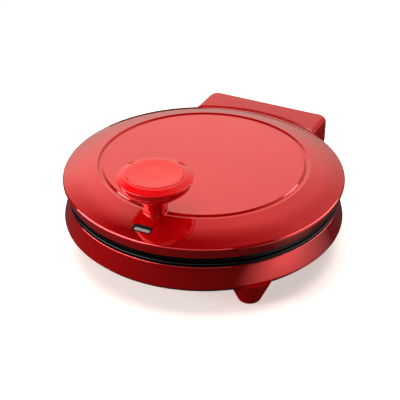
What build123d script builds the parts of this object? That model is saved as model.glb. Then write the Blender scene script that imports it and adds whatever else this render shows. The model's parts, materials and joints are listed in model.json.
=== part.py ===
from build123d import *
from math import atan2, cos, pi, sin, sqrt, tan
import os

os.makedirs("parts", exist_ok=True)

# All sizes are in millimetres. Z is up, the table is Z = 0, the front with the knob is -Y.

# Round base shell
foot_height = 29.0
base_height = 32.8
base_top_radius = 162.5
base_flare = 6.2
base_flare_drop = 25.3
base_tuck = 7.0
base_top_round = 1.0
base_round = 3.0
bottom_round = 5.0
shell_wall = 2.6

# Bottom cover
cover_radius = 118.0
cover_thickness = 2.0
cover_lip = 6.0
cover_screw_count = 4
vent_width = 4.0
outer_vent_inset = 30.0
outer_vent_length = 30.0
outer_vent_count = 24
vent_ring_step = 38.0
inner_vent_length = 24.0
inner_vent_count = 12

# Cooking plates
lower_rim_thickness = 4.2
upper_rim_thickness = 8.6
parting_gap = 0.4
cook_inset = 11.0
plate_draft = 5.5
lower_dish_depth = 9.2
upper_dish_depth = 9.4
plate_thickness = 3.0
plate_corner = 5.0
plate_lip_round = 1.5
rim_edge_round = 1.2
lower_rim_inset = 0.3
upper_rim_inset = 0.8
rim_screw_count = 6
rim_screw_share = 0.55

# Lid shell
black_band = 8.0
lid_overhang = 1.5
lid_skirt_flare = 4.7
lid_skirt_height = 14.1
lid_height = 27.6
lid_corner_round = 3.0
groove_inner_radius = 119.0
groove_width = 7.5
groove_depth = 2.9
groove_round = 3.5
groove_edge_round = 1.5
band_break_share = 0.545
band_break_drop = 5.4
band_round_share = 0.49

# Heating elements and reflectors
element_inset = 46.5
element_tube_radius = 3.6
element_gap_angle = 18.0
element_clearance = 0.2
cold_pin_radius = 2.0
cold_pin_length = 14.0
clip_thickness = 1.0
clip_length = 9.0
clip_foot = 5.0
clip_count = 4
clip_first_angle = 45
reflector_margin = 7.0
reflector_thickness = 0.8
reflector_rim_height = 4.6
reflector_rim_run = 4.0
reflector_round = 2.0
post_height = 12.0
post_inset = 17.0
post_count = 4

# Hinge block
block_depth = 38.5
hood_half_width = 83.8
hood_rise = 15.6
hood_corner_round = 13.0
hood_edge_round = 6.7
hood_lid_clearance = 0.5
hood_front_chamfer = 1.4
hood_length = 70.0
cheek_drop = 10.0
cheek_rear_inset = 9.0
cheek_round = 8.0
rear_wall_lift = 2.0
tower_side_gap = 1.4
tower_top_drop = 3.0
tower_rear_inset = 1.5
tower_reach_inset = 2.0
ledge_height = 16.0
ledge_slope = 3.5
tower_corner_round = 5.0
tower_edge_round = 2.0
tower_seat_gap = 0.8
tower_screw_x = 55.0
tower_screw_drop = 12.0
tower_screw_length = 16.0

# Hinge pins, ears and arms
hinge_inset = 13.0
hinge_pin_radius = 3.0
running_clearance = 0.05
bush_wall = 1.45
ear_radius = 9.5
ear_width = 8.0
ear_gap = 0.5
arm_inset = 23.8
arm_width = 10.0
arm_thickness = 4.0
arm_eye_radius = 9.0
arm_eye_gap = 1.0
arm_lift = 1.8
arm_reach = 63.0
arm_overhang = 2.0
arm_bend_round = 7.0
arm_knee_drop = 4.6
arm_knee_run = 5.0
arm_knee_round = 3.0
arm_end_round = 1.0
arm_notch_gap = 0.6
arm_notch_length = 32.0
arm_screw_inset = 8.0
arm_screw_spacing = 14.0
hood_screw_inset = 20.0
hood_pad_length = 12.0
pin_head_radius = 4.5
pin_head_thickness = 1.5
pin_tail = 2.5
pin_groove_depth = 0.6
pin_clip_thickness = 0.7
pin_clip_wall = 2.6
pin_clip_slot = 3.6

# Knob
knob_offset = 120.5
knob_stem_radius = 13.2
knob_stem_height = 19.0
knob_stem_chamfer = 0.8
knob_seat_margin = 1.3
knob_seat_rise = 0.5
knob_seat_depth = 7.0
knob_spigot_radius = 8.0
knob_spigot_height = 5.0
knob_waist_radius = 17.0
knob_waist_round = 1.0
knob_bowl_radius = 31.5
knob_bowl_height = 6.0
knob_shoulder_radius = 39.6
knob_shoulder_height = 13.8
knob_radius = 42.3
knob_edge_height = 22.4
knob_crown_inset = 3.4
knob_crown_drop = 0.7
knob_head_height = 26.7
knob_bowl_round = 10.0
knob_crown_round = 3.0
knob_edge_round = 1.0
knob_hollow_radius = 26.0
knob_hollow_depth = 12.0
knob_cap_radius = 31.6
knob_cap_thickness = 3.0
knob_cap_proud = 0.5
knob_cap_dish = 0.8
knob_screw_radius = 2.4
knob_screw_head_radius = 4.0
knob_screw_head_height = 3.5
knob_washer_radius = 7.0
knob_washer_thickness = 1.0

# Indicator window
window_width = 22.4
window_height = 9.6
window_round = 1.4
window_drop = 3.0
bezel_wall = 1.0
bezel_depth = 8.0
bezel_recess = 0.7
bezel_flange = 1.6
lens_width = 18.4
lens_height = 4.4
lens_thickness = 1.6
lens_inset = 0.9
lens_drop = 1.2
lens_round = 0.6
lamp_radius = 1.5
lamp_length = 6.0
lamp_spacing = 8.6
lamp_depth = 4.6
holder_thickness = 2.4
lamp_post_width = 3.0

# Feet and pads
right_foot_inset = 17.5
right_foot_angle = 47.0
left_foot_inset = 25.0
left_foot_angle = 57.0
rear_foot_inset = 31.8
rear_foot_margin = 1.0
foot_top_radius = 25.0
foot_tip_radius = 12.4
foot_tip_round = 4.0
foot_crown_rise = 7.0
pad_radius = 7.0
pad_socket_radius = 6.0
pad_proud = 1.0
pad_plug_depth = 3.0
foot_screw_seat = 12.0

# Fasteners and small clearances
screw_radius = 1.5
screw_head_radius = 2.8
screw_head_height = 1.6
screw_clearance = 0.3
thread_clearance = 0.1
boss_wall = 2.4
boss_height = 8.0
fit_gap = 0.2

# Electrical pieces
thermostat_radius = 8.5
thermostat_height = 7.0
thermostat_flange_length = 26.0
thermostat_flange_width = 8.0
fuse_radius = 2.4
fuse_length = 16.0
fuse_x = -38.0
terminal_width = 34.0
terminal_depth = 16.0
terminal_height = 9.0
terminal_x = -24.0
terminal_inset = 19.0
terminal_screw_offset = 6.0
wire_radius = 1.2
wire_bend = 4.0
wire_window_half_width = 45.0
wire_window_height = 16.0
harness_radius = 2.6
harness_hole_margin = 1.0
harness_bend = 5.0
harness_gap = 0.3
harness_x = -34.0
harness_hole_inset = 12.0
lid_harness_x = -8.0
connector_width = 26.0
connector_depth = 12.0
connector_height = 6.0
connector_round = 1.0
connector_inset = 21.0
lamp_wire_margin = 10.0
cord_bore_radius = 3.7
gland_wall = 1.5
gland_flange = 0.8
gland_flange_thickness = 1.5
gland_tail = 7.0


def rounded_reach(corner_radius, rounding, above, below):
    """The widest radius left at a rounded corner between two faces that lean off upright."""
    loss = cos((above - below) / 2) / cos((above + below) / 2) - 1
    return corner_radius - rounding * loss


# Heights that follow from the sizes above
base_top = foot_height + base_height
floor_top = foot_height + shell_wall
widest_height = base_top - base_flare_drop
widest_corner = base_top_radius + base_flare
cook_radius = base_top_radius - cook_inset
lid_edge_radius = base_top_radius + lid_overhang
lid_corner_radius = lid_edge_radius + lid_skirt_flare
block_reach = base_top_radius + block_depth
parting = base_top + lower_rim_thickness
upper_rim_bottom = parting + parting_gap
upper_rim_top = upper_rim_bottom + upper_rim_thickness
lid_edge = upper_rim_bottom + black_band
lid_top = lid_edge + lid_height
lid_corner = lid_edge + lid_skirt_height
hood_top = lid_edge + hood_rise
cook_floor = parting - lower_dish_depth
lower_plate_back = cook_floor - plate_thickness
cook_ceiling = upper_rim_bottom + upper_dish_depth
upper_plate_back = cook_ceiling + plate_thickness
lower_element_height = lower_plate_back - element_clearance - element_tube_radius
upper_element_height = upper_plate_back + element_clearance + element_tube_radius
arm_bottom = upper_plate_back + arm_lift
arm_top = arm_bottom + arm_thickness
seat_top = lid_top + knob_seat_rise
seat_bottom = seat_top - knob_seat_depth
head_bottom = seat_top + knob_stem_height
head_top = head_bottom + knob_head_height

# Angles and radii that follow from the sizes above
flank_angle = atan2(base_flare, base_flare_drop)
tuck_angle = atan2(base_tuck, widest_height - foot_height)
base_radius = rounded_reach(widest_corner, base_round, flank_angle, tuck_angle)
groove_outer_radius = groove_inner_radius + groove_width
band_break_radius = groove_outer_radius + band_break_share * (lid_corner_radius - groove_outer_radius)
upper_slope = atan2(band_break_drop, band_break_radius - groove_outer_radius)
band_drop = lid_height - band_break_drop - lid_skirt_height
lower_slope = atan2(band_drop, lid_corner_radius - band_break_radius)
lower_run = sqrt(band_drop**2 + (lid_corner_radius - band_break_radius) ** 2)
band_round = band_round_share * lower_run / tan((lower_slope - upper_slope) / 2)
skirt_angle = atan2(lid_corner_radius - lid_edge_radius, lid_skirt_height)
lid_radius = rounded_reach(lid_corner_radius, lid_corner_round, pi / 2 - lower_slope, skirt_angle)
lower_rim_radius = base_top_radius - lower_rim_inset
upper_rim_radius = lid_edge_radius - shell_wall - upper_rim_inset
lower_screw_radius = cook_radius + rim_screw_share * (lower_rim_radius - cook_radius)
upper_screw_radius = cook_radius + rim_screw_share * (upper_rim_radius - cook_radius)
element_radius = cook_radius - element_inset
reflector_radius = element_radius + reflector_margin
post_offset = element_radius - post_inset
lamp_wire_radius = reflector_radius + lamp_wire_margin
boss_radius = screw_radius + boss_wall
pilot_radius = screw_radius + thread_clearance
clear_radius = screw_radius + screw_clearance
cover_opening = cover_radius + fit_gap
cover_screw_radius = cover_opening - cover_lip / 2
outer_vent_radius = cover_radius - outer_vent_inset
inner_vent_radius = outer_vent_radius - vent_ring_step
gland_radius = cord_bore_radius + gland_wall

# The plates' centre stands ahead of the middle of the whole object
plate_y = (base_radius - block_reach) / 2
hinge_reach = block_reach - hinge_inset
hinge_height = parting
tower_reach = block_reach - tower_reach_inset
arm_front = hinge_reach - arm_reach
arm_screw_front = arm_front + arm_screw_inset
arm_screw_rear = arm_screw_front + arm_screw_spacing
hood_screw_reach = hinge_reach - hood_screw_inset
connector_y = hinge_reach - connector_inset
terminal_y = tower_reach - terminal_inset
arm_offset = hood_half_width - arm_inset
rear_foot_x = hood_half_width - rear_foot_inset
rear_foot_y = tower_reach - foot_top_radius - rear_foot_margin
plate_axis = Axis((0, plate_y, 0), (0, 0, 1))
radial_plane = Plane(origin=(0, plate_y, 0), x_dir=(1, 0, 0), z_dir=(0, -1, 0))
knob_axis = Axis((0, plate_y - knob_offset, 0), (0, 0, 1))
knob_plane = Plane(origin=(0, plate_y - knob_offset, 0), x_dir=(1, 0, 0), z_dir=(0, -1, 0))


def level(height):
    """A level plane over the plates' centre."""
    return Plane(origin=(0, plate_y, height))


def upright(reach):
    """The upright plane that faces the front, at a distance behind the plates' centre."""
    return Plane(origin=(0, plate_y + reach, 0), x_dir=(1, 0, 0), z_dir=(0, -1, 0))


def side(x):
    """The upright plane across X, drawn as distance behind the plates' centre and height."""
    return Plane(origin=(x, plate_y, 0), x_dir=(0, 1, 0), z_dir=(1, 0, 0))


def spoke(angle):
    """The upright plane out from the plates' axis at an angle in degrees from +X."""
    turn = angle * pi / 180
    along = (cos(turn), sin(turn), 0)
    across = (sin(turn), -cos(turn), 0)
    return Plane(origin=(0, plate_y, 0), x_dir=along, z_dir=across)


def outline(plane, corners):
    """A closed face from corners that each give across, up and rounding radius."""
    with BuildSketch(plane) as face:
        with BuildLine():
            FilletPolyline(
                *[(across, up) for across, up, _ in corners],
                radius=[rounding for _, _, rounding in corners],
                close=True,
            )
        make_face()
    return face.sketch


def discs(plane, places, radius):
    """A disc at each place on a plane."""
    with BuildSketch(plane) as face:
        with Locations(*places):
            Circle(radius)
    return face.sketch


def blocks(plane, places, width, height):
    """A rectangle at each place on a plane."""
    with BuildSketch(plane) as face:
        with Locations(*places):
            Rectangle(width, height)
    return face.sketch


def ring(count, radius, first_angle=0.0):
    """Evenly spaced places on a circle."""
    turns = [first_angle * pi / 180 + 2 * pi * place / count for place in range(count)]
    return [(radius * cos(turn), radius * sin(turn)) for turn in turns]


def pair(x, y):
    """A place and its mirror image across X."""
    return [(-x, y), (x, y)]


def inner_corners(corners, wall):
    """The corners of an open path, moved to its right by a wall."""
    moved = []
    for place, (across, up, rounding) in enumerate(corners):
        normals = []
        for start, end in ((place - 1, place), (place, place + 1)):
            if start >= 0 and end < len(corners):
                run = corners[end][0] - corners[start][0]
                rise = corners[end][1] - corners[start][1]
                length = sqrt(run**2 + rise**2)
                normals.append((rise / length, -run / length))
        before, after = normals[0], normals[-1]
        share = wall / (1 + before[0] * after[0] + before[1] * after[1])
        turns_left = before[0] * after[1] > before[1] * after[0]
        changed = rounding + wall if turns_left else max(rounding - wall, 0)
        inner_across = across + share * (before[0] + after[0])
        inner_up = up + share * (before[1] + after[1])
        moved.append((inner_across, inner_up, changed if rounding else 0))
    return moved


def wire_path(points, bend):
    """A path through points given as X, distance behind the plates' centre and height."""
    with BuildLine() as path:
        FilletPolyline(*[(x, plate_y + reach, height) for x, reach, height in points], radius=bend)
    return path.line


def wire_section(path, radius):
    """The round section at the start of a path."""
    with BuildSketch(Plane(origin=path @ 0, z_dir=path % 0)) as face:
        Circle(radius)
    return face.sketch


# Outer outlines that neighbours are cut to
base_path = [
    (base_top_radius, base_top, base_top_round),
    (widest_corner, widest_height, base_round),
    (widest_corner - base_tuck, foot_height, bottom_round),
]
base_body = [(0, base_top, 0)] + base_path + [(0, foot_height, 0)]
lid_path = [
    (0, lid_top, 0),
    (groove_inner_radius, lid_top, groove_edge_round),
    (groove_inner_radius + groove_width / 2, lid_top - groove_depth, groove_round),
    (groove_outer_radius, lid_top, groove_edge_round),
    (band_break_radius, lid_top - band_break_drop, band_round),
    (lid_corner_radius, lid_corner, lid_corner_round),
    (lid_edge_radius, lid_edge, 0),
]
lid_body = lid_path + [(0, lid_edge, 0)]
front_feet = []
for foot_angle, foot_inset in ((-left_foot_angle, left_foot_inset), (right_foot_angle, right_foot_inset)):
    foot_turn = foot_angle * pi / 180
    foot_reach = base_top_radius - foot_inset
    front_feet.append((foot_reach * sin(foot_turn), -foot_reach * cos(foot_turn)))
rear_feet = pair(rear_foot_x, rear_foot_y)
cover_screws_at = ring(cover_screw_count, cover_screw_radius)
lower_screws_at = ring(rim_screw_count, lower_screw_radius)
upper_screws_at = ring(rim_screw_count, upper_screw_radius)
posts_at = ring(post_count, post_offset, clip_first_angle)

# Base shell: flared wall, floor ring and the stepped lip that the bottom cover sits against
base_floor_path = base_path + [(cover_opening + shell_wall, foot_height, 0)]
base_inner = inner_corners(base_floor_path, shell_wall)
base_wall = base_path + [
    (cover_opening, foot_height, 0),
    (cover_opening, foot_height + cover_thickness, 0),
    (cover_opening - cover_lip, foot_height + cover_thickness, 0),
    (cover_opening - cover_lip, floor_top + cover_thickness, 0),
    (cover_opening + shell_wall, floor_top + cover_thickness, 0),
]
base_wall += base_inner[:0:-1] + [(base_top_radius - shell_wall, base_top, 0)]
tower_screw_height = base_top - tower_screw_drop
tower_screws_at = pair(tower_screw_x, tower_screw_height)
boss_outer_x = tower_screw_x + boss_radius
tower_screw_seat = sqrt((base_top_radius - shell_wall) ** 2 - boss_outer_x**2)
wire_window_middle = base_top - wire_window_height

with BuildPart() as base_shell:
    extrude(discs(level(base_top - boss_height), lower_screws_at, boss_radius), amount=boss_height)
    extrude(
        discs(upright(tower_screw_seat), tower_screws_at, boss_radius), amount=-tower_screw_length
    )
    revolve(outline(radial_plane, base_body), axis=plate_axis, mode=Mode.INTERSECT)
    revolve(outline(radial_plane, base_wall), axis=plate_axis)
    extrude(discs(level(floor_top), front_feet, boss_radius), amount=boss_height)
    extrude(
        discs(level(foot_height), front_feet + cover_screws_at, pilot_radius),
        amount=shell_wall + boss_height + fit_gap,
        mode=Mode.SUBTRACT,
    )
    extrude(
        discs(level(base_top - boss_height), lower_screws_at, pilot_radius),
        amount=boss_height,
        mode=Mode.SUBTRACT,
    )
    extrude(
        discs(upright(0), tower_screws_at, clear_radius), amount=-block_reach, mode=Mode.SUBTRACT
    )
    extrude(
        blocks(
            upright(0), [(0, wire_window_middle)], 2 * wire_window_half_width, wire_window_height
        ),
        amount=-block_reach,
        mode=Mode.SUBTRACT,
    )
base_shell.part.label = "base_shell"
export_step(base_shell.part, "parts/base_shell.step")

# Bottom cover: a vented disc in the step of the base shell
with BuildPart() as bottom_cover:
    with BuildSketch(level(foot_height)):
        Circle(cover_radius)
        with PolarLocations(outer_vent_radius, outer_vent_count):
            SlotOverall(outer_vent_length, vent_width, mode=Mode.SUBTRACT)
        with PolarLocations(inner_vent_radius, inner_vent_count):
            SlotOverall(inner_vent_length, vent_width, mode=Mode.SUBTRACT)
        with Locations(*cover_screws_at):
            Circle(clear_radius, mode=Mode.SUBTRACT)
    extrude(amount=cover_thickness)
bottom_cover.part.label = "bottom_cover"
export_step(bottom_cover.part, "parts/bottom_cover.step")

with BuildPart() as bottom_cover_screws:
    extrude(
        discs(level(foot_height), cover_screws_at, screw_head_radius), amount=-screw_head_height
    )
    extrude(
        discs(level(foot_height), cover_screws_at, screw_radius),
        amount=cover_thickness + shell_wall,
    )
bottom_cover_screws.part.label = "bottom_cover_screws"
export_step(bottom_cover_screws.part, "parts/bottom_cover_screws.step")

# Hinge tower: a hollow block that closes against the flank of the base shell
tower_half_width = hood_half_width - shell_wall - tower_side_gap
tower_top = hinge_height - tower_top_drop
tower_rear = hinge_reach - tower_rear_inset
ledge_top = foot_height + ledge_height
tower_path = [
    (0, tower_top, 0),
    (tower_rear, tower_top, tower_edge_round),
    (tower_rear, ledge_top + ledge_slope, tower_edge_round),
    (tower_reach, ledge_top, tower_edge_round),
    (tower_reach, foot_height, tower_edge_round),
    (0, foot_height, 0),
]
ear_inner = arm_offset - arm_width / 2 - ear_gap - ear_width
ear_outer = arm_offset + arm_width / 2 + ear_gap + ear_width
slot_bottom = hinge_height - arm_eye_radius - arm_eye_gap
slot_front = hinge_reach - arm_eye_radius - arm_eye_gap
web_bottom = slot_bottom - boss_wall
gland_height = foot_height + ledge_height / 2
harness_hole = (harness_x, hinge_reach - harness_hole_inset)
hinge_point = (hinge_reach, hinge_height)
pin_hole_radius = hinge_pin_radius + running_clearance
groove_radius = hinge_pin_radius - pin_groove_depth
pin_relief_radius = groove_radius + pin_clip_wall + ear_gap

with BuildPart() as hinge_tower:
    extrude(outline(side(0), tower_path), amount=tower_half_width, both=True)
    with BuildSketch(level(foot_height)):
        with Locations((0, tower_reach / 2)):
            RectangleRounded(2 * tower_half_width, tower_reach, tower_corner_round)
    extrude(amount=tower_top, mode=Mode.INTERSECT)
    extrude(
        outline(side(0), inner_corners(tower_path, shell_wall)),
        amount=tower_half_width - shell_wall,
        both=True,
        mode=Mode.SUBTRACT,
    )
    extrude(
        discs(side(0), [hinge_point], pin_relief_radius),
        amount=tower_half_width,
        both=True,
        mode=Mode.SUBTRACT,
    )
    for ear_x in (-ear_outer, -ear_inner - ear_width, ear_inner, ear_outer - ear_width):
        with BuildSketch(side(ear_x)):
            with Locations(hinge_point):
                Circle(ear_radius)
            with Locations((hinge_reach - ear_radius, web_bottom)):
                Rectangle(
                    ear_radius - tower_rear_inset,
                    hinge_height - web_bottom,
                    align=(Align.MIN, Align.MIN),
                )
        extrude(amount=ear_width)
    for slot_x in (-arm_offset, arm_offset):
        with BuildSketch(side(slot_x)):
            with Locations((slot_front, slot_bottom)):
                Rectangle(block_reach, block_reach, align=(Align.MIN, Align.MIN))
        extrude(amount=arm_width / 2 + ear_gap, both=True, mode=Mode.SUBTRACT)
    extrude(discs(upright(0), tower_screws_at, boss_radius), amount=-(tower_rear - shell_wall / 2))
    extrude(discs(level(floor_top), rear_feet, boss_radius), amount=boss_height)
    extrude(
        discs(side(0), [hinge_point], pin_hole_radius),
        amount=ear_outer + fit_gap,
        both=True,
        mode=Mode.SUBTRACT,
    )
    extrude(
        discs(upright(0), tower_screws_at, pilot_radius),
        amount=-(tower_rear - shell_wall),
        mode=Mode.SUBTRACT,
    )
    extrude(
        discs(level(foot_height), rear_feet, pilot_radius),
        amount=shell_wall + boss_height + fit_gap,
        mode=Mode.SUBTRACT,
    )
    extrude(
        discs(level(tower_top), [harness_hole], harness_radius + harness_hole_margin),
        amount=2 * shell_wall,
        both=True,
        mode=Mode.SUBTRACT,
    )
    extrude(
        discs(upright(tower_reach), [(0, gland_height)], gland_radius + fit_gap),
        amount=2 * shell_wall,
        both=True,
        mode=Mode.SUBTRACT,
    )
    revolve(outline(radial_plane, base_body), axis=plate_axis, mode=Mode.SUBTRACT)
    extrude(
        discs(level(base_top), [(0, 0)], base_top_radius + tower_seat_gap),
        amount=block_reach,
        mode=Mode.SUBTRACT,
    )
hinge_tower.part.label = "hinge_tower"
export_step(hinge_tower.part, "parts/hinge_tower.step")

# Tower screws run rearwards from inside the base shell
with BuildPart() as tower_screws:
    extrude(
        discs(upright(tower_screw_seat), tower_screws_at, screw_head_radius),
        amount=screw_head_height,
    )
    extrude(
        discs(upright(tower_screw_seat), tower_screws_at, screw_radius), amount=-tower_screw_length
    )
tower_screws.part.label = "tower_screws"
export_step(tower_screws.part, "parts/tower_screws.step")

# Cord gland: a flanged sleeve in the low rear wall of the tower
gland_start = tower_reach - shell_wall - gland_tail
gland_end = tower_reach + gland_flange_thickness
with BuildPart() as cord_gland:
    extrude(
        discs(upright(gland_start), [(0, gland_height)], gland_radius),
        amount=gland_start - gland_end,
    )
    extrude(
        discs(upright(tower_reach), [(0, gland_height)], gland_radius + gland_flange),
        amount=-gland_flange_thickness,
    )
    extrude(
        discs(upright(gland_start), [(0, gland_height)], cord_bore_radius),
        amount=gland_start - gland_end,
        mode=Mode.SUBTRACT,
    )
cord_gland.part.label = "cord_gland"
export_step(cord_gland.part, "parts/cord_gland.step")

# Feet: cones cut to the underside above them, with a rubber pad plugged into each tip
screw_seat = pad_proud + foot_screw_seat
foot_spread = (foot_top_radius - foot_tip_radius) / (foot_height - pad_proud)
front_crown = foot_height + foot_crown_rise
feet = {
    "front_left": (front_feet[0], front_crown),
    "front_right": (front_feet[1], front_crown),
    "rear_left": (rear_feet[0], foot_height),
    "rear_right": (rear_feet[1], foot_height),
}

for foot_name, (foot_place, crown) in feet.items():
    foot_at = (foot_place[0], plate_y + foot_place[1], 0)
    foot_section = Plane(origin=foot_at, x_dir=(1, 0, 0), z_dir=(0, -1, 0))
    foot_corners = [
        (0, pad_proud, 0),
        (foot_tip_radius, pad_proud, foot_tip_round),
        (foot_tip_radius + foot_spread * (crown - pad_proud), crown, 0),
        (0, crown, 0),
    ]
    with BuildPart() as foot:
        revolve(outline(foot_section, foot_corners), axis=Axis(foot_at, (0, 0, 1)))
        revolve(outline(radial_plane, base_body), axis=plate_axis, mode=Mode.SUBTRACT)
        extrude(
            discs(level(pad_proud), [foot_place], pad_socket_radius),
            amount=foot_screw_seat,
            mode=Mode.SUBTRACT,
        )
        extrude(
            discs(level(screw_seat), [foot_place], clear_radius), amount=crown, mode=Mode.SUBTRACT
        )
    foot.part.label = f"foot_{foot_name}"
    export_step(foot.part, f"parts/foot_{foot_name}.step")

    with BuildPart() as foot_pad:
        extrude(discs(level(0), [foot_place], pad_radius), amount=pad_proud)
        extrude(discs(level(pad_proud), [foot_place], pad_socket_radius), amount=pad_plug_depth)
    foot_pad.part.label = f"foot_pad_{foot_name}"
    export_step(foot_pad.part, f"parts/foot_pad_{foot_name}.step")

with BuildPart() as foot_screws:
    extrude(
        discs(level(screw_seat), front_feet + rear_feet, screw_head_radius),
        amount=-screw_head_height,
    )
    extrude(
        discs(level(screw_seat), front_feet + rear_feet, screw_radius),
        amount=floor_top + boss_height - screw_seat,
    )
foot_screws.part.label = "foot_screws"
export_step(foot_screws.part, "parts/foot_screws.step")


def back_radius(drop, dish_depth):
    """Outer radius of a dish's sloping wall at a distance from the parting line."""
    draft = plate_draft / dish_depth
    return cook_radius - draft * drop + plate_thickness * sqrt(1 + draft**2)


# Lower plate: a shallow dish hung from a flange on the base shell's rim
lower_plate_corners = [
    (0, cook_floor, 0),
    (cook_radius - plate_draft, cook_floor, plate_corner),
    (cook_radius, parting, plate_lip_round),
    (lower_rim_radius, parting, rim_edge_round),
    (lower_rim_radius, base_top, 0),
    (back_radius(lower_rim_thickness, lower_dish_depth), base_top, 0),
    (back_radius(parting - lower_plate_back, lower_dish_depth), lower_plate_back, plate_corner),
    (0, lower_plate_back, 0),
]
with BuildPart() as lower_plate:
    revolve(outline(radial_plane, lower_plate_corners), axis=plate_axis)
    extrude(discs(level(lower_plate_back), posts_at, boss_radius), amount=-post_height)
    extrude(
        discs(level(lower_plate_back), posts_at, pilot_radius),
        amount=-post_height,
        mode=Mode.SUBTRACT,
    )
    with Locations(level(parting)):
        with Locations(*lower_screws_at):
            CounterSinkHole(clear_radius, screw_head_radius + fit_gap, lower_rim_thickness)
lower_plate.part.label = "lower_plate"
export_step(lower_plate.part, "parts/lower_plate.step")

head_middle = parting - screw_head_height / 2
with BuildPart() as lower_plate_screws:
    extrude(
        discs(level(parting), lower_screws_at, screw_radius),
        amount=-lower_rim_thickness - boss_height,
    )
    with Locations(*[(x, plate_y + y, head_middle) for x, y in lower_screws_at]):
        Cone(screw_radius, screw_head_radius, screw_head_height)
lower_plate_screws.part.label = "lower_plate_screws"
export_step(lower_plate_screws.part, "parts/lower_plate_screws.step")

# Upper plate: the same dish turned over, carried by posts inside the lid shell
upper_plate_corners = [
    (0, cook_ceiling, 0),
    (cook_radius - plate_draft, cook_ceiling, plate_corner),
    (cook_radius, upper_rim_bottom, plate_lip_round),
    (upper_rim_radius, upper_rim_bottom, rim_edge_round),
    (upper_rim_radius, upper_rim_top, 0),
    (back_radius(upper_rim_thickness, upper_dish_depth), upper_rim_top, 0),
    (
        back_radius(upper_plate_back - upper_rim_bottom, upper_dish_depth),
        upper_plate_back,
        plate_lip_round,
    ),
    (0, upper_plate_back, 0),
]
with BuildPart() as upper_plate:
    revolve(outline(radial_plane, upper_plate_corners), axis=plate_axis)
    extrude(discs(level(upper_plate_back), posts_at, boss_radius), amount=post_height)
    extrude(
        discs(level(upper_plate_back), posts_at, pilot_radius),
        amount=post_height,
        mode=Mode.SUBTRACT,
    )
    extrude(
        discs(level(upper_rim_bottom), upper_screws_at, clear_radius),
        amount=upper_rim_thickness,
        mode=Mode.SUBTRACT,
    )
    extrude(
        discs(level(upper_rim_bottom), upper_screws_at, screw_head_radius + fit_gap),
        amount=screw_head_height,
        mode=Mode.SUBTRACT,
    )
upper_plate.part.label = "upper_plate"
export_step(upper_plate.part, "parts/upper_plate.step")

with BuildPart() as upper_plate_screws:
    extrude(
        discs(level(upper_rim_bottom), upper_screws_at, screw_head_radius),
        amount=screw_head_height,
    )
    extrude(
        discs(level(upper_rim_bottom), upper_screws_at, screw_radius),
        amount=upper_rim_thickness + boss_height,
    )
upper_plate_screws.part.label = "upper_plate_screws"
export_step(upper_plate_screws.part, "parts/upper_plate_screws.step")

# Heating elements: tube rings with straight cold pins at the rear
half_gap = element_gap_angle / 2 * pi / 180
element_end_x = element_radius * sin(half_gap)
element_end_y = element_radius * cos(half_gap)
element_start = 90 + element_gap_angle / 2
element_heights = {"lower": lower_element_height, "upper": upper_element_height}

for element_name, element_height in element_heights.items():
    tube_end = discs(spoke(element_start), [(element_radius, element_height)], element_tube_radius)
    with BuildPart() as element:
        revolve(tube_end, axis=plate_axis, revolution_arc=360 - element_gap_angle)
        extrude(
            discs(upright(element_end_y), pair(element_end_x, element_height), cold_pin_radius),
            amount=-cold_pin_length,
        )
    element.part.label = f"{element_name}_element"
    export_step(element.part, f"parts/{element_name}_element.step")

# Element clips: saddle straps that hold each ring against its plate
clip_inner_radius = element_tube_radius + element_clearance
clip_outer_radius = clip_inner_radius + clip_thickness
clip_seats = {"lower": lower_plate_back, "upper": upper_plate_back}
clip_step = 360 // clip_count

for clip_name, clip_seat in clip_seats.items():
    clip_middle = element_heights[clip_name]
    clip_lift = clip_thickness if clip_middle > clip_seat else -clip_thickness
    with BuildPart() as clips:
        for clip_angle in range(clip_first_angle, clip_first_angle + 360, clip_step):
            with BuildSketch(spoke(clip_angle)):
                with Locations((element_radius, clip_middle)):
                    Circle(clip_outer_radius)
                with Locations((element_radius, (clip_seat + clip_middle) / 2)):
                    Rectangle(2 * clip_outer_radius, clip_inner_radius)
                with Locations((element_radius, clip_seat - clip_lift / 2)):
                    Rectangle(2 * clip_outer_radius, clip_thickness, mode=Mode.SUBTRACT)
                with Locations((element_radius, clip_seat + clip_lift / 2)):
                    Rectangle(2 * clip_outer_radius + 2 * clip_foot, clip_thickness)
                with Locations((element_radius, clip_middle)):
                    Circle(clip_inner_radius, mode=Mode.SUBTRACT)
                with Locations((element_radius, (clip_seat + clip_middle) / 2)):
                    Rectangle(2 * clip_inner_radius, clip_inner_radius, mode=Mode.SUBTRACT)
            extrude(amount=clip_length / 2, both=True)
    clips.part.label = f"{clip_name}_element_clips"
    export_step(clips.part, f"parts/{clip_name}_element_clips.step")

# Reflectors: thin pans screwed to the posts on the plates' backs
lower_pan_height = lower_plate_back - post_height
upper_pan_height = upper_plate_back + post_height
pan_floor_radius = reflector_radius - reflector_rim_run
lower_pan_path = [
    (0, lower_pan_height, 0),
    (pan_floor_radius, lower_pan_height, reflector_round),
    (reflector_radius, lower_pan_height + reflector_rim_height, 0),
]
upper_pan_path = [
    (reflector_radius, upper_pan_height - reflector_rim_height, 0),
    (pan_floor_radius, upper_pan_height, reflector_round),
    (0, upper_pan_height, 0),
]
pans = {
    "lower": (lower_pan_path, lower_pan_height - reflector_thickness, -1),
    "upper": (upper_pan_path, upper_pan_height + reflector_thickness, 1),
}

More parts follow.
